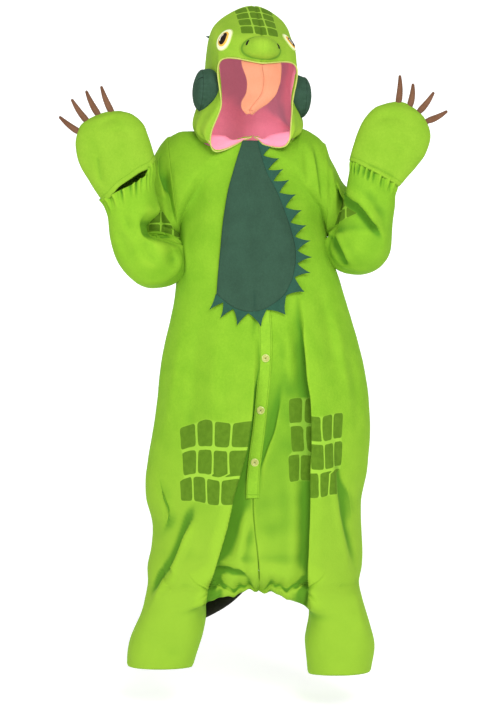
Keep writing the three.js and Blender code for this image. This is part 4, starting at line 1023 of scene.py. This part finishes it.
# -------------------------------------------------------------------------------- claws
# Four stuffed felt claws stand up from the seam of each mitt, round at the root and curved to
# a blunt tip, their ends rubbed a shade darker.
CLAWS = {
    "right": [(362, -2, 52, 57), (345, 21, 35, 61), (321, 35, 27, 61), (292, 40, 22, 64)],
    "left": [(328, 61, 3, 62), (353, 55, 8, 50), (373, 43, 37, 54), (392, 23, 63, 48)],
}
CLAW = Sizes(root=7.4, tip=2.6, sunk=0.12, bend=1.8)
claw_felt = fleece("brown_felt", rgb(120, 86, 65), rgb(98, 66, 46), 0.7, 0.15)
_, along_claw = claw_felt.uv("cloth")
claw_brown = claw_felt.close(
    claw_felt.blend(claw_felt.colour, rgb(84, 52, 36), along_claw.rise(0.04, 0.068) * 0.5),
    depth=0.0008, strength=0.5)
for side in SIDES:
    for number, (out, z, point, length) in enumerate(CLAWS[side], 1):
        way = Vector((sin(radians(point)), 0, cos(radians(point))))
        bend_way = Vector((way.z, 0, -way.x))

        def claw_place(u, v):
            share = v * (1 + CLAW.sunk) - CLAW.sunk
            shown = clamped(share)
            radius = CLAW.tip + (CLAW.root - CLAW.tip) * (1 - shown ** 1.9)
            if share >= 0.96:
                radius *= sqrt(max(0, (1 - share) / 0.04))
            if share < 0.15:
                radius *= 0.82 + 0.18 * shown / 0.15
            p = Vector((out, PAW_Y, z)) + way * (length * share)
            p += bend_way * (CLAW.bend * sin(pi * shown))
            p += about(u, bend_way, Vector((0, 1, 0)), radius, 0.8 * radius)
            p.x *= SIDES[side]
            return p

        claw = lay_cloth(20, 28, claw_place, (0.05, 0.07), welded=True)
        bmesh.ops.holes_fill(claw, edges=[e for e in claw.edges if e.is_boundary])
        bmesh.ops.recalc_face_normals(claw, faces=claw.faces)
        made = finish_piece(
            f"claw_{side}_{number}_felt", claw, claw_brown, [f"claw_{side}_{number}"])

# --------------------------------------------------------------------------------- hood
# The hood is the animal's head: two halves of fleece joined on a centre seam, full at the
# crown and drawn in at the neck, with a pink fleece lining and a pale turned edge. It sits a
# little turned and tilted.
HEAD = Sizes(yaw=9.5, roll=2.5, settle=80, last=120, middle_y=-10)
HOOD_SIZE = (0.34, 0.36)
hood_at = smooth_table(
    "angle low_x low_y low_z ear_x ear_y ear_z high_x high_y high_z top_y top_z",
    (0, 73, -104, -36, 77, -106, 62, 83, -110, 156, -152, 150),
    (12, 92, -98, -8, 80, -100, 84, 85, -104, 180, -155, 180),
    (24, 108, -80, 6, 84, -84, 100, 87, -93, 202, -142, 209),
    (48, 120, -45, 22, 92, -48, 110, 90, -48, 236, -80, 261),
    (72, 121, -8, 36, 102, -4, 130, 88, -2, 246, -14, 300),
    (96, 113, 36, 44, 98, 48, 120, 78, 66, 212, 80, 276),
    (108, 101, 60, 38, 86, 76, 82, 62, 98, 144, 122, 180),
    (120, 84, 42, 24, 64, 57, 25, 40, 67, 26, 73, 28))


def turned(p, share=1.0):
    """A place in the head's own directions, moved to where it is."""
    yaw = Matrix.Rotation(radians(HEAD.yaw) * share, 3, "Z")
    roll = Matrix.Rotation(radians(HEAD.roll) * share, 3, "Y")
    return roll @ (yaw @ Vector(p))


def through_places(places, steps=14):
    """A smooth line through places, as close points with their distance along it."""
    ends = [2 * places[0] - places[1], *places, 2 * places[-1] - places[-2]]
    line = [places[0].copy()]
    for a, b, c, d in zip(ends, ends[1:], ends[2:], ends[3:]):
        t1 = max((b - a).length ** 0.5, 1e-4)
        t2 = t1 + max((c - b).length ** 0.5, 1e-4)
        t3 = t2 + max((d - c).length ** 0.5, 1e-4)
        for k in range(1, steps + 1):
            t = mix(t1, t2, k / steps)
            ab, bc, cd = a.lerp(b, t / t1), b.lerp(c, (t - t1) / (t2 - t1)), c.lerp(d, (t - t2) / (t3 - t2))
            abc, bcd = ab.lerp(bc, t / t2), bc.lerp(cd, (t - t1) / (t3 - t1))
            line.append(abc.lerp(bcd, (t - t1) / (t2 - t1)))
    lengths = [0.0]
    for a, b in zip(line, line[1:]):
        lengths.append(lengths[-1] + (b - a).length)
    return line, lengths


def along_line(line, lengths, share):
    goal = share * lengths[-1]
    low, high = 0, len(lengths) - 1
    while high - low > 1:
        middle = (low + high) // 2
        low, high = (middle, high) if lengths[middle] <= goal else (low, middle)
    step = lengths[high] - lengths[low]
    return line[low].lerp(line[high], (goal - lengths[low]) / step if step else 0)


@lru_cache(maxsize=None)
def hood_arch(angle):
    h = hood_at(angle)
    half = [
        neckline("left", angle), Vector((h.low_x, h.low_y, h.low_z)), Vector((h.ear_x, h.ear_y, h.ear_z)),
        Vector((h.high_x, h.high_y, h.high_z))]
    top = Vector((0, h.top_y, h.top_z))
    return through_places([*half, top, *[Vector((-p.x, p.y, p.z)) for p in reversed(half)]])


def hood_point(side, u, v):
    """A place on half the hood: u from the neck up to the centre seam, v from the face back."""
    angle = round(v * HEAD.last, 3)
    line, lengths = hood_arch(angle)
    p = along_line(line, lengths, u / 2).copy()
    p.x *= SIDES[side]
    return turned(p, smooth(clamped((p.z - neckline(side, angle).z) / HEAD.settle)))


def hood_cloth(side, u, v, inset=0.0):
    p = hood_point(side, u, v)
    middle = turned((0, HEAD.middle_y, min(max(p.z, 60), 190)))
    way = (p - middle).normalized()
    p -= way * inset
    if side == "left":
        p.x -= 12 * hump(p.z, 222, 36) * clamped((p.x - 40) / 50)
    # The face edge sits up off the chest on the left, and its middle is drawn that way.
    at_edge = hump(v, 0, 0.16)
    corner = at_edge * hump(p.z, -12, 58) * clamped((p.x - 28) / 40)
    middle_edge = at_edge * hump(p.x, 0, 34) * clamped((60 - p.z) / 40)
    p.x += 15 * corner + 13 * middle_edge
    p.z += 13 * corner + 10 * middle_edge
    # Soft uprights where the neck is drawn in, and a pucker behind each ear.
    low = max(0, 1 - max(p.z + 20, 0) / 110)
    p += way * (4.5 * low * sin(v * 26 + (1.1 if side == "left" else 0)) * min(v * 6, (1 - u) * 5, 1))
    p += way * (2.5 * hump(p.z, 150, 60) * sin(v * 15 + u * 4))
    return p


hood_fleece = fleece("hood_fleece", rgb(142, 180, 50), rgb(124, 166, 42), sheen=0.3)
hood_green = hood_fleece.close(scale_print(hood_fleece, 3, 4))
HOOD_PRINT = Sizes(x=8, wide=28.5, foot=150, angle=66, tall=10.25)
hoods = []


def hood_spot(place, across, down):
    local = Matrix.Rotation(-radians(HEAD.yaw), 3, "Z") @ place
    column = (local.x - HOOD_PRINT.x) / HOOD_PRINT.wide + 1.5
    off = 0 if local.z > HOOD_PRINT.foot else OFF_THE_PRINT
    return column + off, (HOOD_PRINT.angle - down * HEAD.last) / HOOD_PRINT.tall


for side in SIDES:
    half = lay_cloth(
        *cells(64, 80), lambda u, v: hood_cloth(side, u, v), HOOD_SIZE)
    face_out(half, lambda p: p - Vector((0, 0, 120)))
    soften(half, 1.6, 12)
    map_print(half, HOOD_SIZE, hood_spot)
    hoods.append(BVHTree.FromBMesh(half))
    made = finish_piece(f"hood_{side}_cloth", half, hood_green, [f"hood_{side}"], CLOTH)

# --------------------------------------------------------------------------- hood lining
# One pink fleece shell inside the hood, joined to it at the face edge by a narrow pale
# binding that is turned over both.
LINING_INSET = 5.0
# The share of the lining, at its foot and its back, that is turned down inside the neck.
FACING = 0.06


def half_of(share):
    """Which half of the hood a place lies on, and how far up it."""
    return ("right", 2 * share) if share < 0.5 else ("left", 2 - 2 * share)


def lining_place(u, v):
    side, half = half_of(u)
    loose = min(v * 8, 1)
    clear = min(v * 3, 1)
    turned_in = max(1 - half / FACING, (v - 1 + FACING) / FACING, 0) * clear
    half, v = max(half - FACING * clear, 0) / (1 - FACING), min(v / (1 - FACING), 1)
    neck = max(0, 1 - half / 0.5)
    folds = sin(half * 9 + v * 34 + 1.5 * sin(v * 11))
    depth = mix(2.4, LINING_INSET, loose) + 3.5 * loose * neck * (1 + folds)
    p = hood_cloth(side, half, v)
    up = hood_cloth(side, min(half + 0.01, 1), v) - hood_cloth(side, max(half - 0.01, 0), v)
    back = hood_cloth(side, half, min(v + 0.01, 1)) - hood_cloth(side, half, max(v - 0.01, 0))
    inward = up.cross(back).normalized() * SIDES[side]
    # Low down the hood turns forward like a collar, and the lining turns with it.
    p = hood_cloth(side, half, v, depth).lerp(p + inward * depth, clamped((70 - p.z) / 60))
    # Below the seam it is turned down inside the neck.
    p = p.lerp(Vector((p.x * 0.9, p.y * 0.9, p.z - 38)), turned_in)
    # Painted shade in the lining's folds low in the hood.
    return p, 0.9 * loose * neck * max(folds, 0) ** 2


lining_fleece = fleece("pink_fleece", rgb(226, 134, 152), rgb(208, 112, 134), sheen=0.3)
# A faint painted glow: the pink cloth gives off light, standing in for the light that the pale cloth lets
# through.
lining_fleece.shader.inputs["Emission Color"].default_value = rgb(226, 142, 158)
lining_fleece.shader.inputs["Emission Strength"].default_value = 0.27
lining_pink = lining_fleece.close()
lining = lay_cloth(*cells(96, 60), lining_place, (0.7, 0.36))
face_out(lining, lambda p: Vector((20, -10, 110)) - p)
soften(lining, 1.2, 14, 0)
made = finish_piece("hood_lining_cloth", lining, lining_pink, ["hood_lining"], thick=0.0015)

BINDING_RADIUS = 1.6


def binding_place(u, v):
    share = mix(0.004, 0.996, v)
    here, ahead, behind = [
        hood_cloth(*half_of(s), 0) for s in (share, min(share + 0.01, 1), max(share - 0.01, 0))]
    other = (ahead - behind).normalized().cross(FORWARD).normalized()
    return here + about(u, other, FORWARD, BINDING_RADIUS + 0.15 * sin(share * 140))


binding_cloth = fleece("edge_binding", rgb(190, 198, 106), rgb(170, 182, 86), 0.6)
binding_pale = binding_cloth.close(depth=0.0008, strength=0.5)
binding = lay_cloth(10, 160, binding_place, (0.014, 0.7), welded=True)
bmesh.ops.recalc_face_normals(binding, faces=binding.faces)
finish_piece("hood_edge_binding", binding, binding_pale)

# --------------------------------------------------------------------- snout and nostrils
# The snout is a low padded dome of the fleece, sewn on over the face edge, with two slim
# black felt nostrils.
SNOUT = Sizes(wide=94, tall=56, swell=24)
NOSTRIL = Sizes(wide=3.1, tall=6.6, rise=1.8, sunk=0.2, y=-158, z=192)
NOSTRIL_OUT = {"right": 34, "left": 39}


def drop(trees, start, way):
    """The nearest place where a line from a place, in millimetres, meets cloth."""
    nearest = None
    for tree in trees:
        place, _, _, distance = tree.ray_cast(start * MM, way, 0.8)
        if place is not None and (nearest is None or distance < nearest[1]):
            nearest = (place / MM, distance)
    return nearest[0] if nearest else None


def hood_patch(centre, facing, up, wide, tall, height, foot, edge=0.86, seam=0.0):
    """Places for a patch sewn on the hood, v running from its middle to its edge, which turns
    down to `foot` over the hood."""
    out = turned(facing).normalized()
    upward = turned(up)
    upward = (upward - out * upward.dot(out)).normalized()
    across = upward.cross(out)
    middle = turned(centre)

    def place(u, v):
        share = min(v / edge, 1)
        way = about(u, across, upward, wide / 2, tall / 2)
        hit = None
        while hit is None:
            hit = drop(hoods, middle + out * 120 + way * share, -out)
            share -= 0.02
        share = min(v / edge, 1)
        rise = height(share) if v <= edge else mix(height(1), foot, (v - edge) / (1 - edge))
        return hit + out * rise, seam * hump(v, edge * 0.9, 0.05)
    return place


def round_patch(around, rings, place, size):
    patch = lay_cloth(around, rings, place, size, welded=True)
    bmesh.ops.remove_doubles(patch, verts=patch.verts, dist=4e-5)
    bmesh.ops.recalc_face_normals(patch, faces=patch.faces)
    return patch


def snout_height(share):
    dome = SNOUT.swell * sqrt(max(1 - (share / 0.9) ** 2.4, 0))
    return 1.2 + dome + 2.2 * hump(share, 0.96, 0.04)


snout = round_patch(
    64, 26,
    hood_patch(
        (0, -150, 182), (0, -1, 0.12), (0, 0, 1), SNOUT.wide, SNOUT.tall, snout_height, -2, seam=0.9),
    (0.12, 0.05))
face_out(snout)
soften(snout, 0.8, 20, 0)
snout_tree = BVHTree.FromBMesh(snout)
made = finish_piece("snout_pad", snout, hood_green, ["snout"])
mark = made.data.uv_layers.new(name="print")
for loop in mark.data:
    loop.uv = (OFF_THE_PRINT, OFF_THE_PRINT)

black_felt = fleece("black_felt", rgb(34, 34, 26), rgb(20, 20, 15), 0.6, 0.1)
felt_black = black_felt.close(depth=0.0006, strength=0.5)
for side in SIDES:
    sign = SIDES[side]
    out = turned((sign * 0.45, -1, 0.35)).normalized()
    up = turned((sign * -0.5, 0, 1))
    across = up.cross(out).normalized()
    upward = out.cross(across).normalized()
    above = turned((sign * NOSTRIL_OUT[side], NOSTRIL.y, NOSTRIL.z)) + out * 60
    seat = drop([snout_tree], above, -out)

    def nostril_place(u, v):
        bow = pi / 2 * v
        flat = about(u, across, upward, NOSTRIL.wide * sin(bow), NOSTRIL.tall * sin(bow))
        return seat + flat + out * (NOSTRIL.rise * cos(bow) - NOSTRIL.sunk)

    nostril = round_patch(20, 6, nostril_place, (0.01, 0.01))
    face_out(nostril)
    finish_piece(f"nostril_{side}_felt", nostril, felt_black, [f"nostril_{side}"])

# ---------------------------------------------------------------------------------- eyes
# Three layers of felt sewn on each side of the hood, each smaller than the one below: a pale
# oval, a warm yellow ring and a black pupil with a pale sliver of light.
EYE_FELT = 1.5
EYES = {
    "right": Sizes(wide=38, tall=55, place=(62, -92, 198), facing=(0.76, -0.58, 0.3)),
    "left": Sizes(wide=30, tall=42, place=(60, -90, 207), facing=(0.96, -0.28, 0.22)),
}
eye_felts = {}
for part, colour, shade in [
    ("white", rgb(240, 244, 206), rgb(222, 230, 176)),
    ("yellow", rgb(232, 182, 84), rgb(216, 158, 62)),
    ("pupil", rgb(42, 28, 18), rgb(26, 18, 12)),
]:
    felt = fleece(f"eye_{part}_felt", colour, shade, 0.5, 0.1)
    around, outward = felt.uv("cloth")
    inked = felt.colour
    if part == "pupil":
        sliver = outward.rise(0.52, 0.58) * outward.rise(0.84, 0.78)
        sliver = sliver * (around - 0.47).size().rise(0.16, 0.12)
        inked = felt.blend(inked, rgb(242, 240, 220), sliver)
    if part == "white":
        inked = felt.blend(inked, rgb(170, 190, 90), outward.rise(0.8, 0.86) * 0.8)
    eye_felts[part] = felt.close(inked, depth=0.0006, strength=0.5)
for side, sign in SIDES.items():
    eye = EYES[side]
    layers = [
        ("white", "eye_white", 1, 1), ("yellow", "eye_yellow", 0.62, 0.66), ("pupil", "black", 0.42, 0.52)]
    for layer, (part, slot, wide, tall) in enumerate(layers, 1):
        top = EYE_FELT * layer
        patch = round_patch(40, 10, hood_patch(
            *[(sign * spot[0], *spot[1:]) for spot in (eye.place, eye.facing, (-0.25, 0, 1))],
            wide * eye.wide, tall * eye.tall,
            lambda share: top + 0.6 - 0.5 * share ** 6, top - EYE_FELT - 0.4, 0.9), (1, 1))
        face_out(patch, lambda p: Vector((sign, -1, 0.3)))
        finish_piece(f"eye_{part}_{side}_felt", patch, eye_felts[part], [f"eye_{part}_{side}"])

# ------------------------------------------------------------------------------ ear pads
# The ear drums are stuffed, dark green fleece: a round face on a deep side wall, gathered a
# little at the seam and sewn flat to the hood.
EAR = Sizes(radius=46, face=45, reach=133, dome=17, x=100, y=-42, z=98)
DOME_TURN = radians(82)
# The shares of the map at which the face ends and the side wall starts.
FACE_END, WALL_START = 0.5, 0.6
ear_fleece = fleece("dark_green_fleece", rgb(54, 84, 66), rgb(40, 66, 50), 1.1, 0.3)
ear_round, ear_out = ear_fleece.uv("cloth")
ear_dart = (ear_round - 0.085).size().rise(0.006, 0.002)
ear_dart = ear_dart * ear_out.rise(0.24, 0.27) * ear_out.rise(0.51, 0.5)
ear_seam = (1 - (ear_out - FACE_END).size().rise(0.0, 0.014)).at_least(ear_dart)
ear_green = ear_fleece.close(
    ear_fleece.blend(ear_fleece.colour, rgb(18, 34, 25), ear_seam * 0.9),
    ear_fleece.height - ear_seam, 0.0014)
for side, sign in SIDES.items():
    out = turned((sign, 0, 0)).normalized()
    upward = Vector((0, 0, 1)) - out * out.z
    upward.normalize()
    across = upward.cross(out)
    middle = turned((sign * EAR.x, EAR.y, EAR.z))

    def ear_place(u, v):
        a = 2 * pi * u
        side_wall = (v - WALL_START) / (1 - WALL_START)
        if v <= FACE_END:
            t = v / FACE_END * DOME_TURN
            r = (EAR.face + 0.5) * sin(t)
            reach = EAR.reach - EAR.dome * (1 - cos(t)) / (1 - cos(DOME_TURN))
        elif v <= WALL_START:
            t = (v - FACE_END) / (WALL_START - FACE_END)
            r, reach = mix(EAR.face, EAR.radius, t), EAR.reach - EAR.dome - 5 * t
        else:
            r = EAR.radius + 2.5 * sin(pi * side_wall)
        pucker = 0.9 * sin(19 * a + 2 * sin(3 * a)) * hump(v, 0.52, 0.14)
        dent = 1 - 0.05 * exp(-((cos(a - 2.4) - 1) ** 2) / 0.02)
        way = about(u, across, upward)
        flat = middle + way * ((r + pucker) * dent)
        if v > WALL_START:
            foot, tight = None, 1.0
            while foot is None:
                foot = drop(hoods, middle + way * (EAR.radius * tight) + out * 150, -out)
                tight -= 0.03
            reach = mix(EAR.reach - EAR.dome - 5, foot.dot(out) - 2, side_wall)
        return flat + out * (reach - flat.dot(out))

    ear = round_patch(72, 30, ear_place, (1, 1))
    face_out(ear, lambda p: p - (middle + out * 10))
    soften(ear, 1.0, 22, 0)
    made = finish_piece(f"ear_{side}_pad", ear, ear_green, [f"ear_pad_{side}"])

# --------------------------------------------------------------------------------- crest
# A zigzag strip of dark green felt let into the centre seam at the back of the hood. It
# flops over to the right.
CREST = Sizes(first=99, last=120, teeth=6, rise=26, flop=96, root=9, lean=0.55)
TEETH_STEPS = 8
FELT = 0.002


def crest_place(u, v):
    def seam(share):
        return hood_point("right", 1, mix(CREST.first, CREST.last, share) / HEAD.last)
    here = seam(u)
    way = (here - turned((0, HEAD.middle_y, here.z))).normalized()
    tooth = min(int(u * CREST.teeth), CREST.teeth - 1)
    within = u * CREST.teeth - tooth
    peak = 1 - abs(within - CREST.lean) / (CREST.lean if within < CREST.lean else 1 - CREST.lean)
    flop = turned((1, 0, 0)) * (CREST.flop * (1 - 0.08 * tooth) * peak)
    up = 0.4 * (1 - v) + mix(CREST.root, CREST.rise, peak) * v + 5 * peak * sin(pi * v)
    return here + way * up - flop * v


felt_green = fleece("spike_felt", rgb(44, 84, 68), rgb(34, 70, 55), 0.6, 0.12)
felt_edge = felt_green.close(depth=0.0007, strength=0.5)
crest = lay_cloth(CREST.teeth * TEETH_STEPS, 10, crest_place, (0.2, 0.07))
face_out(crest, lambda p: Vector((0, 1, 0)))
made = finish_piece("crest_felt", crest, felt_edge, ["crest"], FELT)

# -------------------------------------------------------------------------------- tongue
# A long felt tongue, sewn in under the snout, with one stitched line down its middle. It
# hangs over the mouth and curls to the right at its tip.
TONGUE_ROWS = 7
tongue_at = smooth_table(
    "row left right y z",
    (0, -41, 47, -128, 160), (1, -41, 47, -141, 142), (2, -33, 44, -154, 116), (3, -31, 39, -160, 98),
    (4, -33, 32, -161, 80), (5, -42, 17, -163, 62), (6, -42, -4, -167, 46), (7, -31, -18, -170, 33))


def tongue_place(u, v):
    s = tongue_at(round(v * TONGUE_ROWS, 3))
    bow = 9 * (1 - (2 * u - 1) ** 2) - 2.2 * hump(u, 0.5, 0.05)
    x = mix(s.left, s.right, u)
    lift = 1.5 * sin(v * 9 + u * 3)
    return turned((x, s.y - bow - lift, s.z + 2 * sin(pi * u) * (v > 0.9)))


tongue_felt = fleece("peach_felt", rgb(216, 146, 116), rgb(218, 138, 104), 0.6, 0.15)
tongue_across, tongue_down = tongue_felt.uv("cloth")
tongue_line = 1 - (tongue_across - 0.5).size().rise(0.0, 0.012)
tongue_line = tongue_line * tongue_down.rise(0.1, 0.16) * tongue_down.rise(0.93, 0.9)
tongue_dash = (tongue_down * 44).part().rise(0.16, 0.26) * tongue_line
tongue_peach = tongue_felt.close(
    tongue_felt.blend(tongue_felt.colour, rgb(196, 108, 76), tongue_dash * 0.85),
    tongue_felt.height - 1.6 * tongue_line)
tongue = lay_cloth(36, 56, tongue_place, (1, 1))
face_out(tongue)
soften(tongue, 1.0, 22, 0)
made = finish_piece("tongue_felt", tongue, tongue_peach, ["tongue"], thick=0.0024)

# ----------------------------------------------------------------- button band and buttons
# A folded strip of the fleece, stitched down both edges and across its square foot, carries
# six round resin buttons, sewn on through four holes.
BAND = Sizes(half=14.5, top=-24, foot=-797, thick=2.2, stitch=0.0112, last_stitch=0.7645)
STITCH = 0.0009
IN_FRONT = -400
front_trees = [fronts[side] for side in SIDES]


def on_front(x, z, offset, spread=0):
    """A place that far in front of the fronts, clear of them for `spread` either way."""
    forward = []
    for dx in (0, spread):
        hit = drop(front_trees, Vector((x + dx, IN_FRONT, z)), -FORWARD)
        if hit is not None:
            forward.append(hit.y)
    return Vector((x, min(forward) - offset, z)) if forward else None


def centre_x(z):
    """The centre seam's place across the body, at a height."""
    rows = [(row, front_z) for row, _, _, front_z, *_ in TRUNK[:7]]
    for (r0, z0), (r1, z1) in zip(rows, rows[1:]):
        if z >= z1:
            return body_at["left"](round(mix(r0, r1, (z - z0) / (z1 - z0)), 3)).inner
    return body_at["left"](rows[-1][0]).inner


def band_place(u, v):
    z = mix(BAND.top, BAND.foot, v)
    x = centre_x(z)
    offset = BAND.thick * (1 if 0 < u < 1 and 0 < v < 1 else 0.4)
    wave = 0.8 * sin(z / 21) * (1 - hump(min(u, 1 - u), 0, 0.08))
    middle = on_front(x, z, offset + wave, 11)
    return Vector((x + (u - 0.5) * 2 * BAND.half + 0.5 * sin(z / 37), middle.y, z))


band_fleece = fleece("band_fleece", rgb(139, 186, 46), rgb(119, 168, 37))
band_across, band_down = band_fleece.uv("cloth")
from_middle = (band_across - BAND.half * MM).size()
band_line = (1 - (from_middle - BAND.stitch).size().rise(0.0, STITCH)).at_least(
    1 - (band_down - BAND.last_stitch).size().rise(0.0, STITCH))
band_dash = band_line * ((band_down + band_across) * 300).part().rise(0.14, 0.24)
band_green = band_fleece.close(
    band_fleece.blend(band_fleece.colour, rgb(98, 152, 28), band_dash * 0.7),
    band_fleece.height - 1.5 * band_line, 0.0013)
band = lay_cloth(16, 240, band_place, (0.029, 0.773))
face_out(band)
band_tree = BVHTree.FromBMesh(band)
made = finish_piece("button_band_cloth", band, band_green, ["button_band"], thick=0.0016)

BUTTON = Sizes(count=6, first_z=-149.5, pitch=113.8, hole=0.9, hole_out=2.1, hole_depth=1.3)
THREAD = Sizes(radius=0.75, long=3.4, flat=0.8, deep=1.9)
# The button's profile, from the middle of its face out and round to the middle of its back:
# the radius and the height at each place.
BUTTON_PROFILE = [
    (0.0, 1.7), (4.6, 1.7), (5.2, 2.1), (5.9, 3.1), (6.8, 3.5), (7.9, 3.2), (8.6, 2.3), (8.75, 1.5),
    (8.3, 0.6), (7.2, 0.1), (0.0, 0.1)]
resin = Finish("button_resin", Roughness=0.32, Specular_IOR_Level=0.5, Coat_Weight=0.15)
_, button_out = resin.uv("cloth")
cloud = resin.grain(resin.object_place(), 420.0, 2.0)
rim = button_out.rise(0.46, 0.6)
pale_resin = resin.blend(rgb(218, 234, 126), rgb(234, 244, 160), cloud)
button_resin = resin.close(resin.blend(rgb(176, 180, 96), pale_resin, rim), cloud, 0.0002, 0.3)
thread = Finish("button_thread", Roughness=0.85)
twist = thread.grain(thread.object_place(), 1500.0, 2.0)
thread_green = thread.close(thread.blend(rgb(96, 104, 44), rgb(136, 146, 70), twist), twist, 0.0004, 0.5)
for k in range(BUTTON.count):
    z = BUTTON.first_z - BUTTON.pitch * k
    x = centre_x(z)
    seat = drop([band_tree], Vector((x, IN_FRONT, z)), -FORWARD)

    def button_place(u, v):
        at = v * (len(BUTTON_PROFILE) - 1)
        i = min(int(at), len(BUTTON_PROFILE) - 2)
        r, h = [mix(a, b, at - i) for a, b in zip(BUTTON_PROFILE[i], BUTTON_PROFILE[i + 1])]
        x, z = r * cos(2 * pi * u), r * sin(2 * pi * u)
        for hole in range(4 if v < 0.15 else 0):
            a = pi / 4 + hole * pi / 2
            away = hypot(x - BUTTON.hole_out * cos(a), z - BUTTON.hole_out * sin(a))
            h -= BUTTON.hole_depth * exp(-(away / BUTTON.hole) ** 4)
        return seat + Vector((x, -h, z))

    button = round_patch(40, 50, button_place, (1, 1))
    face_out(button, lambda p: p - seat - Vector((0, -1.5, 0)))
    finish_piece(f"button_{k + 1}_resin", button, button_resin, [f"button_{k + 1}"])
    sewing = bmesh.new()
    for turn in (pi / 4, -pi / 4):
        bmesh.ops.create_uvsphere(
            sewing, u_segments=10, v_segments=6, radius=THREAD.radius * MM,
            matrix=Matrix.Translation((seat + FORWARD * THREAD.deep) * MM)
            @ Matrix.Rotation(turn, 4, "Y") @ Matrix.Diagonal((THREAD.long, THREAD.flat, 1, 1)))
    finish_piece(f"button_{k + 1}_thread", sewing, thread_green)

# ------------------------------------------------------------- throat flap and its spikes
# A big dark green dewlap hangs from the neck over the chest, of fleece backed with felt, and
# sixteen felt spikes are sewn along its side and foot.
dewlap_at = smooth_table(
    "row right left z",
    (0, -10, 22, -13), (2, -30, 42, -80), (4, -43, 68, -130), (6, -53, 92, -195),
    (8, -59, 107, -255), (10, -64, 101, -312), (11, -67, 84, -350))
DEWLAP_ROWS = 11
DEWLAP_FOLDS = [
    Fold([(0, -60), (40, -120), (67, -186), (88, -240), (92, -300)], 16, 4, 2, (0.3, 0.4)),
    Fold([(-10, -70), (6, -160), (10, -260), (-6, -350)], 20, 3.5, 0, (0.3, 0.3)),
    Fold([(-36, -100), (-38, -200), (-44, -330)], 12, 3, 2, (0.3, 0.3)),
]


def dewlap_place(u, v):
    s = dewlap_at(round(v * DEWLAP_ROWS, 3))
    sag = 40 * v ** 3 * (1 - (2 * u - 1) ** 2)
    x, z = mix(s.right, s.left, u), s.z - sag
    p = on_front(x, min(z, -26), mix(2.5, 9, min(v * 9, 1)), 6)
    p.z = z
    step, _, _, _ = folded(DEWLAP_FOLDS, x, z)
    rim = min(u, 1 - u, 1 - v)
    p.y -= step + 1.5 * (1 - exp(-rim * 14))
    return p


dewlap_fleece = fleece("dewlap_fleece", rgb(50, 80, 63), rgb(42, 68, 53), 0.9, 0.3)
dewlap_green = dewlap_fleece.close(strength=BODY_BUMP)
dewlap = lay_cloth(*cells(64, 110), dewlap_place, (0.17, 0.36))
face_out(dewlap)
soften(dewlap, 1.2, 14, 0.8)
made = finish_piece("dewlap_cloth", dewlap, dewlap_green, ["dewlap"], thick=0.0025)

SPIKES = Sizes(side=11, foot=5, count=16, reach=36, root=4)
# Where the spikes along the foot of the flap start and end, as shares of its width.
SPIKE_ENDS = (0.995, 0.72, 0.47, 0.26, 0.12, 0.005)


def spike_place(u, v):
    count = SPIKES.count

    def edge(share):
        at = share * count
        if at <= SPIKES.side:
            return dewlap_place(0.995, max(at / SPIKES.side, 0.001))
        step = min(int(at - SPIKES.side), SPIKES.foot - 1)
        along = mix(SPIKE_ENDS[step], SPIKE_ENDS[step + 1], at - SPIKES.side - step)
        return dewlap_place(along, 0.998)
    tooth = min(int(u * count), count - 1)
    within = u * count - tooth
    here = edge(u)
    ahead, behind = edge(min((tooth + 1) / count, 1)), edge(tooth / count)
    along = (ahead - behind).normalized()
    out = along.cross(-FORWARD).normalized()
    if out.dot(here - Vector((20, here.y, -230))) < 0:
        out = -out
    peak = 1 - abs(within - 0.5) * 2
    foot = here - out * 5 + Vector((0, 1.6, 0))
    tip = here + out * (SPIKES.root + (SPIKES.reach - SPIKES.root) * peak)
    middle = behind.lerp(ahead, 0.5)
    tip += (middle - here) * (0.55 * peak)
    tip.y += 1.6 + 2.0 * peak * sin(tooth * 2.3)
    return foot.lerp(tip, v)


spikes = lay_cloth(SPIKES.count * TEETH_STEPS, 8, spike_place, (0.5, 0.04))
face_out(spikes)
made = finish_piece("dewlap_spikes_felt", spikes, felt_edge, ["dewlap_spikes"], FELT)

# ---------------------------------------------------------------------------------- tail
# A stuffed tail of black fleece, sewn into the centre back seam. It hangs down behind and
# tapers to the right.
TAIL_TIP = 0.05
tail_points = [
    (22, 128, -800), (20, 158, -850), (14, 164, -930), (0, 158, -990), (-40, 150, -1040), (-96, 141, -1078),
    (-146, 132, -1098), (-184, 124, -1106)]
tail_line, tail_lengths = through_places([Vector(p) for p in tail_points])
tail_radius = smooth_table(
    "share radius",
    (0, 33), (0.14, 31), (0.34, 27), (0.49, 22), (0.65, 18.5), (0.8, 15.5), (0.92, 11.5), (1, 8))


def tail_place(u, v):
    share = min(v / (1 - TAIL_TIP), 1)
    here, ahead, behind = [
        along_line(tail_line, tail_lengths, s) for s in (share, min(share + 0.02, 1), max(share - 0.02, 0))]
    way = (ahead - behind).normalized()
    first = way.cross(-FORWARD).normalized()
    radius = tail_radius(round(share, 4)).radius
    closing = max(v - 1 + TAIL_TIP, 0) / TAIL_TIP
    if closing:
        radius *= sqrt(max(1 - closing ** 2, 0.0004))
    radius += 0.8 * sin(4 * pi * u + share * 30) * (1 - share)
    return here + way * (7 * closing) + about(u, first, way.cross(first).normalized(), radius)


tail_black = fleece("black_fleece", rgb(38, 38, 30), rgb(24, 24, 18), 1.1, 0.35).close(depth=0.0014)
tail = lay_cloth(32, 90, tail_place, (0.2, 0.5), welded=True)
bmesh.ops.remove_doubles(tail, verts=tail.verts, dist=4e-5)
bmesh.ops.holes_fill(tail, edges=[e for e in tail.edges if e.is_boundary])
bmesh.ops.recalc_face_normals(tail, faces=tail.faces)
made = finish_piece("tail_pad", tail, tail_black, ["tail"])
